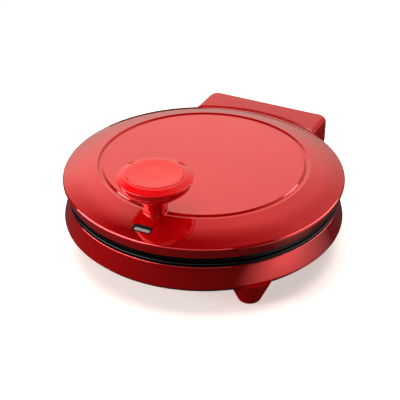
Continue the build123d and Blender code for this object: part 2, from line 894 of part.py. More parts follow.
for pan_name, (pan_path, pan_back, outward) in pans.items():
    pan_corners = pan_path + inner_corners(pan_path, reflector_thickness)[::-1]
    with BuildPart() as reflector:
        revolve(outline(radial_plane, pan_corners), axis=plate_axis)
        extrude(
            discs(level(pan_back), posts_at, clear_radius),
            amount=-outward * 2 * reflector_thickness,
            mode=Mode.SUBTRACT,
        )
    reflector.part.label = f"{pan_name}_reflector"
    export_step(reflector.part, f"parts/{pan_name}_reflector.step")

    with BuildPart() as reflector_screws:
        extrude(
            discs(level(pan_back), posts_at, screw_head_radius), amount=outward * screw_head_height
        )
        extrude(discs(level(pan_back), posts_at, screw_radius), amount=-outward * boss_height)
    reflector_screws.part.label = f"{pan_name}_reflector_screws"
    export_step(reflector_screws.part, f"parts/{pan_name}_reflector_screws.step")

# Thermostat and thermal fuse on the back of the lower plate
with BuildPart() as thermostat:
    extrude(discs(level(lower_plate_back), [(0, 0)], thermostat_radius), amount=-thermostat_height)
    extrude(
        blocks(
            level(lower_plate_back), [(0, 0)], thermostat_flange_length, thermostat_flange_width
        ),
        amount=-clip_thickness,
    )
thermostat.part.label = "thermostat"
export_step(thermostat.part, "parts/thermostat.step")

fuse_height = lower_plate_back - fuse_radius
fuse_end = fuse_length / 2
with BuildPart() as thermal_fuse:
    extrude(discs(upright(0), [(fuse_x, fuse_height)], fuse_radius), amount=fuse_end, both=True)
thermal_fuse.part.label = "thermal_fuse"
export_step(thermal_fuse.part, "parts/thermal_fuse.step")

# Terminal block on the tower's floor
terminal_top = floor_top + terminal_height
terminal_left = terminal_x - terminal_screw_offset
terminal_right = terminal_x + terminal_screw_offset
terminal_screw_y = terminal_y + terminal_screw_offset / 2
terminal_screws_at = [(terminal_left, terminal_screw_y), (terminal_right, terminal_screw_y)]
with BuildPart() as terminal_block:
    extrude(
        blocks(level(floor_top), [(terminal_x, terminal_y)], terminal_width, terminal_depth),
        amount=terminal_height,
    )
    extrude(
        discs(level(terminal_top), terminal_screws_at, screw_head_radius),
        amount=-screw_head_height,
        mode=Mode.SUBTRACT,
    )
terminal_block.part.label = "terminal_block"
export_step(terminal_block.part, "parts/terminal_block.step")

# Wires in the base, in series through thermostat, fuse and element
wire_height = lower_element_height
pin_end = element_end_y + cold_pin_length
window_front = base_top_radius - wire_window_height
wire_drop_y = terminal_y - wire_bend
gap_x = 1.5 * wire_bend
gap_turn = pin_end + 2.5 * wire_bend
fuse_turn = fuse_end + 2 * wire_bend
thermostat_wire = [
    (wire_bend, thermostat_radius, wire_height),
    (wire_bend, window_front, wire_height),
    (terminal_right - wire_bend, wire_drop_y, wire_height),
    (terminal_right - wire_bend, wire_drop_y, terminal_top),
]
return_wire = [
    (element_end_x, pin_end, wire_height),
    (element_end_x, window_front, wire_height),
    (terminal_right + wire_bend, wire_drop_y, wire_height),
    (terminal_right + wire_bend, wire_drop_y, terminal_top),
]
fuse_wire = [
    (-thermostat_radius, 0, wire_height),
    (fuse_x / 2, 0, wire_height),
    (fuse_x / 2, -fuse_turn, wire_height),
    (fuse_x, -fuse_turn, wire_height),
    (fuse_x, -fuse_end, wire_height),
]
element_wire = [
    (fuse_x, fuse_end, wire_height),
    (fuse_x, post_offset, wire_height),
    (-gap_x, post_offset, wire_height),
    (-gap_x, gap_turn, wire_height),
    (-element_end_x, gap_turn, wire_height),
    (-element_end_x, pin_end, wire_height),
]
with BuildPart() as base_wires:
    for wire_points in (thermostat_wire, return_wire, fuse_wire, element_wire):
        wire_run = wire_path(wire_points, wire_bend)
        sweep(wire_section(wire_run, wire_radius), path=wire_run)
base_wires.part.label = "base_wires"
export_step(base_wires.part, "parts/base_wires.step")

# Harness: the base half and the lid half meet end to end on the hinge line
harness_meeting = (harness_x + lid_harness_x) / 2
base_harness_points = [
    (harness_x, harness_hole[1], terminal_top),
    (harness_x, harness_hole[1], hinge_height),
    (harness_x, hinge_reach, hinge_height),
    (harness_meeting - harness_gap / 2, hinge_reach, hinge_height),
]
with BuildPart() as base_harness:
    base_run = wire_path(base_harness_points, harness_bend)
    sweep(wire_section(base_run, harness_radius), path=base_run)
base_harness.part.label = "base_harness"
export_step(base_harness.part, "parts/base_harness.step")

connector_middle = arm_bottom + connector_height / 2
connector_rear = connector_y + connector_depth / 2
connector_front = connector_y - connector_depth / 2
lid_harness_points = [
    (harness_meeting + harness_gap / 2, hinge_reach, hinge_height),
    (lid_harness_x, hinge_reach, hinge_height),
    (lid_harness_x, hinge_reach, connector_middle),
    (lid_harness_x, connector_rear, connector_middle),
]
with BuildPart() as lid_harness:
    lid_run = wire_path(lid_harness_points, harness_bend)
    sweep(wire_section(lid_run, harness_radius), path=lid_run)
lid_harness.part.label = "lid_harness"
export_step(lid_harness.part, "parts/lid_harness.step")

with BuildPart() as lid_connector:
    extrude(
        blocks(
            upright(connector_front), [(0, connector_middle)], connector_width, connector_height
        ),
        amount=-connector_depth,
    )
    fillet(lid_connector.edges().filter_by(Axis.Y), radius=connector_round)
lid_connector.part.label = "lid_connector"
export_step(lid_connector.part, "parts/lid_connector.step")

# Lid shell: pressed dome with a ring groove, posts, knob seat and window opening
window_slope = (upper_slope + lower_slope) / 2
window_sink = band_round * (1 / cos((lower_slope - upper_slope) / 2) - 1)
window_sag = window_drop**2 / (2 * band_round)
window_low = window_sink + window_sag
window_reach = band_break_radius - window_low * sin(window_slope) + window_drop * cos(window_slope)
window_z = lid_top - band_break_drop - window_low * cos(window_slope) - window_drop * sin(window_slope)
window_plane = Plane(
    origin=(0, plate_y - window_reach, window_z),
    x_dir=(1, 0, 0),
    z_dir=(0, -sin(window_slope), cos(window_slope)),
)
arm_screws_at = pair(arm_offset, arm_screw_front) + pair(arm_offset, arm_screw_rear)
notch_radius = lid_edge_radius - arm_eye_gap
knob_place = (0, -knob_offset)
knob_hole_radius = knob_screw_radius + screw_clearance

with BuildPart() as lid_shell:
    extrude(discs(level(upper_rim_top), upper_screws_at, boss_radius), amount=lid_height)
    extrude(discs(level(arm_top), arm_screws_at, boss_radius), amount=lid_height)
    revolve(outline(radial_plane, lid_body), axis=plate_axis, mode=Mode.INTERSECT)
    revolve(
        outline(radial_plane, lid_path + inner_corners(lid_path, shell_wall)[::-1]),
        axis=plate_axis,
    )
    extrude(
        discs(level(seat_bottom), [knob_place], knob_stem_radius + knob_seat_margin),
        amount=knob_seat_depth,
    )
    extrude(
        discs(level(seat_bottom), [knob_place], knob_hole_radius),
        amount=knob_seat_depth,
        mode=Mode.SUBTRACT,
    )
    extrude(
        discs(level(upper_rim_top), upper_screws_at, pilot_radius),
        amount=boss_height,
        mode=Mode.SUBTRACT,
    )
    extrude(
        discs(level(arm_top), arm_screws_at, pilot_radius),
        amount=boss_height / 2,
        mode=Mode.SUBTRACT,
    )
    with BuildSketch(level(arm_bottom - arm_notch_gap)):
        with Locations(*pair(arm_offset, arm_screw_rear)):
            Rectangle(arm_width + 2 * arm_notch_gap, arm_notch_length)
        Circle(notch_radius, mode=Mode.SUBTRACT)
    extrude(amount=arm_thickness + 2 * arm_notch_gap, mode=Mode.SUBTRACT)
    extrude(
        blocks(
            upright(connector_front),
            [(0, connector_middle)],
            connector_width + 2 * fit_gap,
            connector_height + 2 * fit_gap,
        ),
        amount=-connector_depth,
        mode=Mode.SUBTRACT,
    )
    with BuildSketch(window_plane.offset(bezel_depth)):
        RectangleRounded(window_width + 2 * fit_gap, window_height + 2 * fit_gap, window_round)
    extrude(amount=-2 * bezel_depth, mode=Mode.SUBTRACT)
lid_shell.part.label = "lid_shell"
export_step(lid_shell.part, "parts/lid_shell.step")

# Indicator: a black bezel from inside the lid, with a lens bar over two lamps
bezel_inner_width = window_width - 2 * bezel_wall
bezel_inner_height = window_height - 2 * bezel_wall
bezel_inner_round = window_round - bezel_wall
flange_width = window_width + 2 * bezel_flange
flange_height = window_height + 2 * bezel_flange
flange_depth = shell_wall + 2 * fit_gap
lens_back = lens_inset + lens_thickness
with BuildPart() as window_bezel:
    with BuildSketch(window_plane):
        RectangleRounded(window_width, window_height, window_round)
    extrude(amount=-bezel_depth)
    with BuildSketch(window_plane.offset(-flange_depth)):
        RectangleRounded(flange_width, flange_height, window_round)
    extrude(amount=-bezel_wall)
    with BuildSketch(window_plane):
        RectangleRounded(bezel_inner_width, bezel_inner_height, bezel_inner_round)
    extrude(amount=-bezel_recess, mode=Mode.SUBTRACT)
    with BuildSketch(window_plane.offset(-lens_back)):
        RectangleRounded(bezel_inner_width, bezel_inner_height, bezel_inner_round)
    extrude(amount=-bezel_depth, mode=Mode.SUBTRACT)
    with BuildSketch(window_plane):
        with Locations((0, -lens_drop)):
            RectangleRounded(lens_width + fit_gap, lens_height + fit_gap, lens_round)
    extrude(amount=-bezel_depth, mode=Mode.SUBTRACT)
window_bezel.part.label = "window_bezel"
export_step(window_bezel.part, "parts/window_bezel.step")

with BuildPart() as window_lens:
    with BuildSketch(window_plane.offset(-lens_inset)):
        with Locations((0, -lens_drop)):
            RectangleRounded(lens_width, lens_height, lens_round)
    extrude(amount=-lens_thickness)
window_lens.part.label = "window_lens"
export_step(window_lens.part, "parts/window_lens.step")

lamps_at = pair(lamp_spacing / 2, -lens_drop)
with BuildPart() as window_lamps:
    for lamp_x, lamp_y in lamps_at:
        lamp_centre = window_plane.from_local_coords(Vector(lamp_x, lamp_y, -lamp_depth))
        with BuildSketch(Plane(origin=lamp_centre, z_dir=(1, 0, 0))):
            Circle(lamp_radius)
        extrude(amount=lamp_length / 2, both=True)
window_lamps.part.label = "window_lamps"
export_step(window_lamps.part, "parts/window_lamps.step")

with BuildPart() as lamp_holder:
    with BuildSketch(window_plane.offset(-bezel_depth)):
        RectangleRounded(window_width, window_height, window_round)
    extrude(amount=-holder_thickness)
    with BuildSketch(window_plane.offset(-bezel_depth)):
        with Locations(*lamps_at):
            Rectangle(lamp_post_width, lens_height)
    extrude(amount=bezel_depth - lamp_depth - lamp_radius)
lamp_holder.part.label = "lamp_holder"
export_step(lamp_holder.part, "parts/lamp_holder.step")

# Wires in the lid: two to the element pins, two round the lid to the lamps
lamp_wire_height = upper_element_height + element_tube_radius
holder_back = bezel_depth + holder_thickness
lamp_bend_depth = holder_back + wire_bend + 2 * fit_gap
lamp_wire_x = lamp_spacing / 2
lead_turn = connector_front - 5 * wire_bend
lamp_turn = connector_front - 3 * wire_bend
lamp_wire_corners = ring(12, lamp_wire_radius, 15)[1:6]
with BuildPart() as lid_wires:
    for turn in (-1, 1):
        element_lead = [
            (turn * wire_bend, connector_front, upper_element_height),
            (turn * wire_bend, lead_turn, upper_element_height),
            (turn * element_end_x, pin_end + 3 * wire_bend, upper_element_height),
            (turn * element_end_x, pin_end, upper_element_height),
        ]
        lamp_lead = [
            (turn * 2 * wire_bend, connector_front, upper_element_height),
            (turn * 2 * wire_bend, lamp_turn, upper_element_height),
        ]
        lamp_lead += [(turn * across, along, lamp_wire_height) for along, across in lamp_wire_corners]
        lamp_lead += [
            (turn * lamp_wire_x, -lamp_wire_radius - 2 * wire_bend, lamp_wire_height)
        ]
        lamp_lead += [
            (
                turn * lamp_wire_x,
                depth * sin(window_slope) - window_reach,
                window_z - depth * cos(window_slope),
            )
            for depth in (lamp_bend_depth, holder_back)
        ]
        for lead_points in (element_lead, lamp_lead):
            lead_run = wire_path(lead_points, wire_bend)
            sweep(wire_section(lead_run, wire_radius), path=lead_run)
lid_wires.part.label = "lid_wires"
export_step(lid_wires.part, "parts/lid_wires.step")

# Hinge arms, bushes and pins, one set on each side
eye_front = hinge_reach - arm_eye_radius
arm_corners = [
    (arm_front, arm_bottom, arm_end_round),
    (arm_front, arm_top, arm_end_round),
    (hinge_reach + arm_overhang, arm_top, arm_bend_round),
    (hinge_reach + arm_eye_radius, hinge_height, 0),
    (eye_front, hinge_height, 0),
    (eye_front, arm_bottom - arm_knee_drop, arm_knee_round),
    (eye_front - arm_knee_run, arm_bottom, arm_knee_round),
]
bush_radius = pin_hole_radius + bush_wall
groove_start = ear_outer + fit_gap

for side_name, turn in (("left", -1), ("right", 1)):
    arm_x = turn * arm_offset
    arm_holes_at = [(arm_x, arm_screw_front), (arm_x, arm_screw_rear), (arm_x, hood_screw_reach)]
    with BuildPart() as hinge_arm:
        extrude(outline(side(arm_x), arm_corners), amount=arm_width / 2, both=True)
        extrude(discs(side(arm_x), [hinge_point], arm_eye_radius), amount=arm_width / 2, both=True)
        extrude(
            discs(side(arm_x), [hinge_point], bush_radius),
            amount=arm_width / 2,
            both=True,
            mode=Mode.SUBTRACT,
        )
        extrude(
            discs(level(arm_bottom), arm_holes_at, clear_radius),
            amount=arm_thickness,
            mode=Mode.SUBTRACT,
        )
    hinge_arm.part.label = f"hinge_arm_{side_name}"
    export_step(hinge_arm.part, f"parts/hinge_arm_{side_name}.step")

    with BuildPart() as hinge_bush:
        with BuildSketch(side(arm_x)):
            with Locations(hinge_point):
                Circle(bush_radius)
                Circle(pin_hole_radius, mode=Mode.SUBTRACT)
        extrude(amount=arm_width / 2, both=True)
    hinge_bush.part.label = f"hinge_bush_{side_name}"
    export_step(hinge_bush.part, f"parts/hinge_bush_{side_name}.step")

    with BuildPart() as hinge_pin:
        extrude(
            discs(side(turn * ear_inner), [hinge_point], pin_head_radius),
            amount=-turn * pin_head_thickness,
        )
        extrude(
            discs(side(turn * ear_inner), [hinge_point], hinge_pin_radius),
            amount=turn * (ear_outer + pin_tail - ear_inner),
        )
        with BuildSketch(side(turn * groove_start)):
            with Locations(hinge_point):
                Circle(hinge_pin_radius)
                Circle(groove_radius, mode=Mode.SUBTRACT)
        extrude(amount=turn * pin_clip_thickness, mode=Mode.SUBTRACT)
    hinge_pin.part.label = f"hinge_pin_{side_name}"
    export_step(hinge_pin.part, f"parts/hinge_pin_{side_name}.step")

# Retaining clips in the grooves of the hinge pins
with BuildPart() as hinge_pin_clips:
    for turn in (-1, 1):
        with BuildSketch(side(turn * groove_start)):
            with Locations(hinge_point):
                Circle(groove_radius + pin_clip_wall)
                Circle(groove_radius, mode=Mode.SUBTRACT)
            with Locations((hinge_reach + hinge_pin_radius, hinge_height)):
                Rectangle(2 * hinge_pin_radius, pin_clip_slot, mode=Mode.SUBTRACT)
        extrude(amount=turn * pin_clip_thickness)
hinge_pin_clips.part.label = "hinge_pin_clips"
export_step(hinge_pin_clips.part, "parts/hinge_pin_clips.step")

with BuildPart() as arm_screws:
    extrude(discs(level(arm_bottom), arm_screws_at, screw_head_radius), amount=-screw_head_height)
    extrude(
        discs(level(arm_bottom), arm_screws_at, screw_radius),
        amount=arm_thickness + boss_height / 2,
    )
arm_screws.part.label = "arm_screws"
export_step(arm_screws.part, "parts/arm_screws.step")

# Hinge hood: a rounded cover behind the lid, fixed to the arms by two inner pads
hood_screws_at = pair(arm_offset, hood_screw_reach)
hood_screw_depth = hood_top - arm_top - shell_wall / 2
hood_front = block_reach - hood_length
hood_middle = (0, block_reach - hood_length / 2)
hood_bottom = hinge_height - cheek_drop
rear_wall_bottom = hinge_height + rear_wall_lift
hood_profile = [
    (hood_front, hood_bottom, 0),
    (block_reach - cheek_rear_inset, hood_bottom, cheek_round),
    (block_reach - cheek_rear_inset, rear_wall_bottom, 0),
    (block_reach + shell_wall, rear_wall_bottom, 0),
    (block_reach + shell_wall, hood_top + shell_wall, 0),
    (hood_front, hood_top + shell_wall, 0),
]
hood_cut_radius = lid_radius + hood_lid_clearance
hood_cut = [
    (0, 0, 0),
    (hood_cut_radius, 0, 0),
    (hood_cut_radius, hood_top - hood_front_chamfer, 0),
    (hood_cut_radius + 2 * hood_front_chamfer, hood_top + hood_front_chamfer, 0),
    (0, hood_top + hood_front_chamfer, 0),
]
with BuildPart() as hinge_hood:
    extrude(
        blocks(level(hood_bottom), [hood_middle], 2 * hood_half_width, hood_length),
        amount=hood_top - hood_bottom,
    )
    fillet(hinge_hood.edges().filter_by(Axis.Z).group_by(Axis.Y)[-1], radius=hood_corner_round)
    fillet(hinge_hood.edges().group_by(Axis.Z)[-1], radius=hood_edge_round)
    offset(amount=-shell_wall, openings=hinge_hood.faces().sort_by(Axis.Z)[0])
    extrude(
        outline(side(0), hood_profile),
        amount=hood_half_width + shell_wall,
        both=True,
        mode=Mode.INTERSECT,
    )
    extrude(
        blocks(level(arm_top), hood_screws_at, arm_width, hood_pad_length),
        amount=hood_screw_depth,
    )
    extrude(
        discs(level(arm_top), hood_screws_at, pilot_radius),
        amount=hood_screw_depth,
        mode=Mode.SUBTRACT,
    )
    revolve(outline(radial_plane, hood_cut), axis=plate_axis, mode=Mode.SUBTRACT)
hinge_hood.part.label = "hinge_hood"
export_step(hinge_hood.part, "parts/hinge_hood.step")

with BuildPart() as hood_screws:
    extrude(discs(level(arm_bottom), hood_screws_at, screw_head_radius), amount=-screw_head_height)
    extrude(
        discs(level(arm_bottom), hood_screws_at, screw_radius),
        amount=arm_thickness + hood_screw_depth,
    )
hood_screws.part.label = "hood_screws"
export_step(hood_screws.part, "parts/hood_screws.step")

# Knob: stem, hollow mushroom head, dished cap and one screw up through the lid
with BuildPart() as knob_stem:
    extrude(discs(level(seat_top), [knob_place], knob_stem_radius), amount=knob_stem_height)
    chamfer(knob_stem.edges().group_by(Axis.Z)[0], length=knob_stem_chamfer)
    extrude(discs(level(head_bottom), [knob_place], knob_spigot_radius), amount=knob_spigot_height)
    extrude(
        discs(level(seat_top), [knob_place], knob_hole_radius),
        amount=knob_stem_height + knob_spigot_height,
        mode=Mode.SUBTRACT,
    )
knob_stem.part.label = "knob_stem"
export_step(knob_stem.part, "parts/knob_stem.step")

cap_top = head_top + knob_cap_proud
recess_bottom = cap_top - knob_cap_thickness
knob_corners = [
    (0, head_bottom, 0),
    (knob_waist_radius, head_bottom, knob_waist_round),
    (knob_bowl_radius, head_bottom + knob_bowl_height, knob_bowl_round),
    (knob_shoulder_radius, head_bottom + knob_shoulder_height, knob_bowl_round),
    (knob_radius, head_bottom + knob_edge_height, knob_edge_round),
    (knob_cap_radius + knob_crown_inset, head_top - knob_crown_drop, knob_crown_round),
    (knob_cap_radius + fit_gap, head_top, 0),
    (0, head_top, 0),
]
with BuildPart() as knob_head:
    revolve(outline(knob_plane, knob_corners), axis=knob_axis)
    extrude(
        discs(level(recess_bottom), [knob_place], knob_cap_radius + fit_gap),
        amount=knob_cap_thickness,
        mode=Mode.SUBTRACT,
    )
    extrude(
        discs(level(recess_bottom), [knob_place], knob_hollow_radius),
        amount=-knob_hollow_depth,
        mode=Mode.SUBTRACT,
    )
    extrude(
        discs(level(head_bottom), [knob_place], knob_spigot_radius + fit_gap),
        amount=knob_spigot_height + fit_gap,
        mode=Mode.SUBTRACT,
    )
    extrude(
        discs(level(head_bottom), [knob_place], knob_screw_radius + thread_clearance),
        amount=2 * knob_spigot_height + fit_gap,
        mode=Mode.SUBTRACT,
    )
knob_head.part.label = "knob_head"
export_step(knob_head.part, "parts/knob_head.step")

knob_cap_corners = [
    (0, recess_bottom, 0),
    (knob_cap_radius, recess_bottom, 0),
    (knob_cap_radius, cap_top, knob_cap_proud),
    (knob_cap_radius - knob_cap_thickness, cap_top, knob_cap_thickness),
    (knob_cap_radius / 2, cap_top - knob_cap_dish, knob_bowl_round),
    (0, cap_top - knob_cap_dish, 0),
]
with BuildPart() as knob_cap:
    revolve(outline(knob_plane, knob_cap_corners), axis=knob_axis)
knob_cap.part.label = "knob_cap"
export_step(knob_cap.part, "parts/knob_cap.step")

washer_bottom = seat_bottom - knob_washer_thickness
with BuildPart() as knob_washer:
    with BuildSketch(level(washer_bottom)):
        with Locations(knob_place):
            Circle(knob_washer_radius)
            Circle(knob_hole_radius, mode=Mode.SUBTRACT)
    extrude(amount=knob_washer_thickness)
knob_washer.part.label = "knob_washer"
export_step(knob_washer.part, "parts/knob_washer.step")

with BuildPart() as knob_screw:
    extrude(
        discs(level(washer_bottom), [knob_place], knob_screw_head_radius),
        amount=-knob_screw_head_height,
    )
    extrude(
        discs(level(washer_bottom), [knob_place], knob_screw_radius),
        amount=head_bottom + 2 * knob_spigot_height - washer_bottom,
    )
knob_screw.part.label = "knob_screw"
export_step(knob_screw.part, "parts/knob_screw.step")
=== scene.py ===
import json
import math

import bmesh
import bpy
from mathutils import Matrix, Vector

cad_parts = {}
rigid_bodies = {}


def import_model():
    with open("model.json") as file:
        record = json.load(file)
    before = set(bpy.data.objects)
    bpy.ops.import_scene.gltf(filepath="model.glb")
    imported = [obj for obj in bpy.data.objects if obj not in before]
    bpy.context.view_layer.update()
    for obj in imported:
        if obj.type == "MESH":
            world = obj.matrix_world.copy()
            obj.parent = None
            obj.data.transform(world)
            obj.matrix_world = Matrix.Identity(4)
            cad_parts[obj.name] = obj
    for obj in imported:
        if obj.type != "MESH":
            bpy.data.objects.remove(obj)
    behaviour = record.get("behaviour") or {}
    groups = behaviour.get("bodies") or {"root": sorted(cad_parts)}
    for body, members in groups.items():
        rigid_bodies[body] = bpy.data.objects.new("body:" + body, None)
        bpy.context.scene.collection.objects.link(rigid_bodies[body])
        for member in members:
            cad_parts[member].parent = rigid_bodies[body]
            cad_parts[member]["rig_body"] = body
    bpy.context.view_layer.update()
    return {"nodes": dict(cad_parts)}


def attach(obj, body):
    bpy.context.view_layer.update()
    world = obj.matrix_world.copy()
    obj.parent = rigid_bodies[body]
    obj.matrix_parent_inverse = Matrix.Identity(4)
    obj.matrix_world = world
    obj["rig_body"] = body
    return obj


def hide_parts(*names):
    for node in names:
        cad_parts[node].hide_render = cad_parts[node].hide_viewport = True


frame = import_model()
scene = bpy.context.scene
scene.view_settings.view_transform = "Standard"

# Sizes shared with the CAD source, in millimetres
MM = 0.001
PLATE_Y = -16.3
KNOB_Y = PLATE_Y - 120.5
WALL = 2.6
FLARE_RADIUS = 168.7
BASE_FLOOR = 29.0
BASE_FLOOR_RADIUS = 161.7
BASE_BEND_DROP = 25.3
BASE_TOP = 61.8
BASE_TOP_RADIUS = 162.5
COVER_RADIUS = 118.0
COVER_THICK = 2.0
PARTING = 66.0
UPPER_RIM_BOTTOM = 66.4
UPPER_RIM_TOP = 75.0
COOK_RADIUS = 151.5
LID_EDGE = 74.4
LID_TOP = 102.0
LID_RADIUS = 167.98
ARM_SIDE = 60.0
HOOD_HALF_WIDTH = 83.8
HOOD_FRONT = 131.0
HOOD_BOTTOM = 56.0
HOOD_TOP = 90.0
BLOCK_REACH = 201.0
SEAT_TOP = 102.5
HEAD_BOTTOM = 121.5
HEAD_TOP = 148.2
CAP_TOP = 148.7

# Camera, from the photograph's own perspective, in degrees and millimetres
LENS = 99.0
SENSOR = 36.0
CAMERA_AZIMUTH = 26.3
CAMERA_ELEVATION = 31.74
CAMERA_DISTANCE = 1337.2
CAMERA_SIDE_SHIFT = -4.51
CAMERA_AIM_HEIGHT = 47.5


def direction(azimuth, elevation):
    """The way from the object to a camera or lamp. Azimuth 0 is in front and 90 on the right."""
    turn, rise = math.radians(azimuth), math.radians(elevation)
    level = math.cos(rise)
    return Vector((math.sin(turn) * level, -math.cos(turn) * level, math.sin(rise)))


def facing(aim, way, distance):
    """The place of something that stands at a distance from its aim and faces it, in metres."""
    turned = way.to_track_quat("Z", "Y").to_matrix().to_4x4()
    return Matrix.Translation(aim + way * distance) @ turned


def place_camera():
    """A long lens that looks at the plates' axis from the front right."""
    data = bpy.data.cameras.new("camera")
    data.lens = LENS
    data.sensor_width = SENSOR
    data.clip_end = 50.0
    camera = bpy.data.objects.new("camera", data)
    scene.collection.objects.link(camera)
    turn = math.radians(CAMERA_AZIMUTH)
    across = Vector((math.cos(turn), math.sin(turn), 0))
    aim = Vector((0, PLATE_Y, CAMERA_AIM_HEIGHT)) + across * CAMERA_SIDE_SHIFT
    way = direction(CAMERA_AZIMUTH, CAMERA_ELEVATION)
    camera.matrix_world = facing(aim * MM, way, CAMERA_DISTANCE * MM)
    scene.camera = camera


place_camera()


# Small tools for materials
SMUDGE_SHARE = 0.4


def colour(code):
    """A linear colour from its sRGB hex code."""
    channels = [int(code[place : place + 2], 16) / 255 for place in (0, 2, 4)]
    linear = [c / 12.92 if c <= 0.04045 else ((c + 0.055) / 1.055) ** 2.4 for c in channels]
    return (*linear, 1.0)


def feed(tree, node, inputs):
    """Gives a node its values and links, each by the input's name, number or identifier.

    A node as a value is linked from its first output in use.
    """
    for name, value in inputs.items():
        by_identifier = [socket for socket in node.inputs if socket.identifier == name]
        socket = by_identifier[0] if by_identifier else node.inputs[name]
        if isinstance(value, bpy.types.Node):
            value = next(output for output in value.outputs if output.enabled)
        if isinstance(value, bpy.types.NodeSocket):
            tree.links.new(value, socket)
        else:
            socket.default_value = value


def add(tree, kind, inputs=None, **settings):
    """Adds a node with its settings, its values and its links."""
    made = tree.nodes.new(kind)
    for name, value in settings.items():
        setattr(made, name, value)
    feed(tree, made, inputs or {})
    return made


def finish(name, light, dark, patch, gloss, grain, depth, squeeze=(1, 1, 1), **shader):
    """A finish with slow colour patches, uneven gloss and a fine grain over the surface.

    Patch and grain are sizes and depth a height, all in millimetres; gloss is the range of
    roughness, and squeeze stretches the grain along an axis where its factor is small. Grains
    that are finer than half a millimetre on the real thing are drawn that coarse, to show.
    """
    material = bpy.data.materials.new(name)
    material.use_nodes = True
    tree = material.node_tree
    where = add(tree, "ShaderNodeTexCoord").outputs["Object"]
    lumps = add(tree, "ShaderNodeTexNoise", {"Vector": where, "Scale": 1000 / patch})
    share = add(tree, "ShaderNodeMapRange", {"Value": lumps, "From Min": 0.3, "From Max": 0.7})
    shades = {"Factor_Float": share, "A_Color": colour(light), "B_Color": colour(dark)}
    tint = add(tree, "ShaderNodeMix", shades, data_type="RGBA")
    along = add(tree, "ShaderNodeMapping", {"Vector": where, "Scale": squeeze})
    smudge = {"Vector": along, "Scale": 1000 / (SMUDGE_SHARE * patch), "Detail": 3.0}
    smudges = add(tree, "ShaderNodeTexNoise", smudge)
    range_of = {"From Min": 0.3, "From Max": 0.7, "To Min": gloss[0], "To Max": gloss[1]}
    uneven = add(tree, "ShaderNodeMapRange", {"Value": smudges, **range_of})
    fine = {"Vector": along, "Scale": 1000 / grain, "Detail": 3.0, "Roughness": 0.6}
    height = add(tree, "ShaderNodeTexNoise", fine)
    relief = {"Height": height, "Distance": depth * MM, "Strength": 1.0}
    bump = add(tree, "ShaderNodeBump", relief)
    surface = tree.nodes["Principled BSDF"]
    feed(tree, surface, {"Base Color": tint, "Roughness": uneven, "Normal": bump})
    for socket, value in shader.items():
        surface.inputs[socket.replace("_", " ")].default_value = value
    return material


# Finishes

# Candy lacquer baked on pressed metal: clear red over a bright ground, mirror-like, with a faint ripple
lacquer = finish(
    "red_candy_lacquer", "e0080e", "d8060d", 90, (0.07, 0.1), 9.0, 0.004,
    Metallic=0.62, Coat_Weight=0.95, Coat_Roughness=0.03,
)
# Lacquered knob: an opaque red under a clear coat, without the lid's metallic ground
knob_red = finish(
    "red_lacquered_knob", "e8090f", "e2070d", 40, (0.07, 0.1), 6.0, 0.003,
    Coat_Weight=0.8, Coat_Roughness=0.04, IOR=1.3,
)
# Knob stem: a candy red with a thinner clear coat, so it mirrors less of the lid below
stem_red = finish(
    "red_lacquered_stem", "e0080f", "d8070d", 40, (0.12, 0.16), 6.0, 0.003,
    Metallic=0.3, Coat_Weight=0.2, Coat_Roughness=0.05, IOR=1.3,
)
# Injection-moulded ABS: plain red plastic with a softer gloss
moulded_red = finish("red_moulded_abs", "b8060c", "b0050b", 60, (0.09, 0.14), 5.0, 0.003, IOR=1.45)
# Non-stick PTFE coating on cast aluminium: soft black with a fine sprayed pebble
coating = finish(
    "black_ptfe_coating", "060606", "040405", 60, (0.25, 0.28), 0.9, 0.012, IOR=1.36
)
# Moulded black polypropylene: spark-eroded fine matt
cover_black = finish("black_moulded_pp", "141414", "0f0f10", 50, (0.45, 0.6), 0.7, 0.03, IOR=1.49)
# Moulded black nylon: smoother, for the bezel, gland and connectors
trim_black = finish("black_moulded_nylon", "060606", "040404", 30, (0.45, 0.6), 0.8, 0.01, IOR=1.2)
# Bright zinc plate on steel: pale grey metal with faint milky patches
zinc = finish("zinc_plated_steel", "b9bcc0", "a6a9ae", 4, (0.22, 0.38), 0.5, 0.004, Metallic=1.0)
# Stamped and plated steel strip: rolling marks along its length
strip = finish(
    "stamped_plated_steel", "a9abae", "96989c", 12, (0.28, 0.45), 0.8, 0.006, (1, 0.05, 1), Metallic=1.0
)
# Blackened steel: the dull dark oxide of the screws in the plate rims
blackened = finish("black_oxide_steel", "1a1a1b", "121213", 4, (0.4, 0.55), 0.5, 0.004, Metallic=0.7)
# Turned brass: warm yellow with fine lathe marks
brass = finish(
    "turned_brass", "c9a45a", "b8924a", 6, (0.18, 0.3), 0.5, 0.004, (0.1, 1, 1), Metallic=1.0
)
# Heat-darkened stainless sheath: brown-grey oxide in patches
sheath = finish("oxidised_steel_sheath", "6b645e", "4a423c", 10, (0.35, 0.55), 1.0, 0.01, Metallic=1.0)
# Bright rolled aluminium sheet: rolling lines one way
sheet = finish(
    "rolled_aluminium", "d6d7d9", "c6c7ca", 30, (0.2, 0.34), 1.0, 0.004, (0.05, 1, 1), Metallic=1.0
)
# Moulded rubber: dark, dull and slightly dusty
rubber = finish("moulded_rubber", "1c1c1c", "131313", 8, (0.7, 0.85), 0.6, 0.03, IOR=1.52)
# Frosted polycarbonate lens: pale milky plastic that lets some light through
lens_plastic = finish(
    "frosted_polycarbonate", "dcdedc", "cfd2d0", 6, (0.22, 0.34), 0.5, 0.004, IOR=1.58,
    Transmission_Weight=0.25,
)
# Clear glass of the neon lamps, faintly warm
lamp_glass = finish(
    "clear_lamp_glass", "f2d9cc", "ecd0c2", 4, (0.02, 0.05), 1.0, 0.001, IOR=1.5,
    Transmission_Weight=0.9,
)
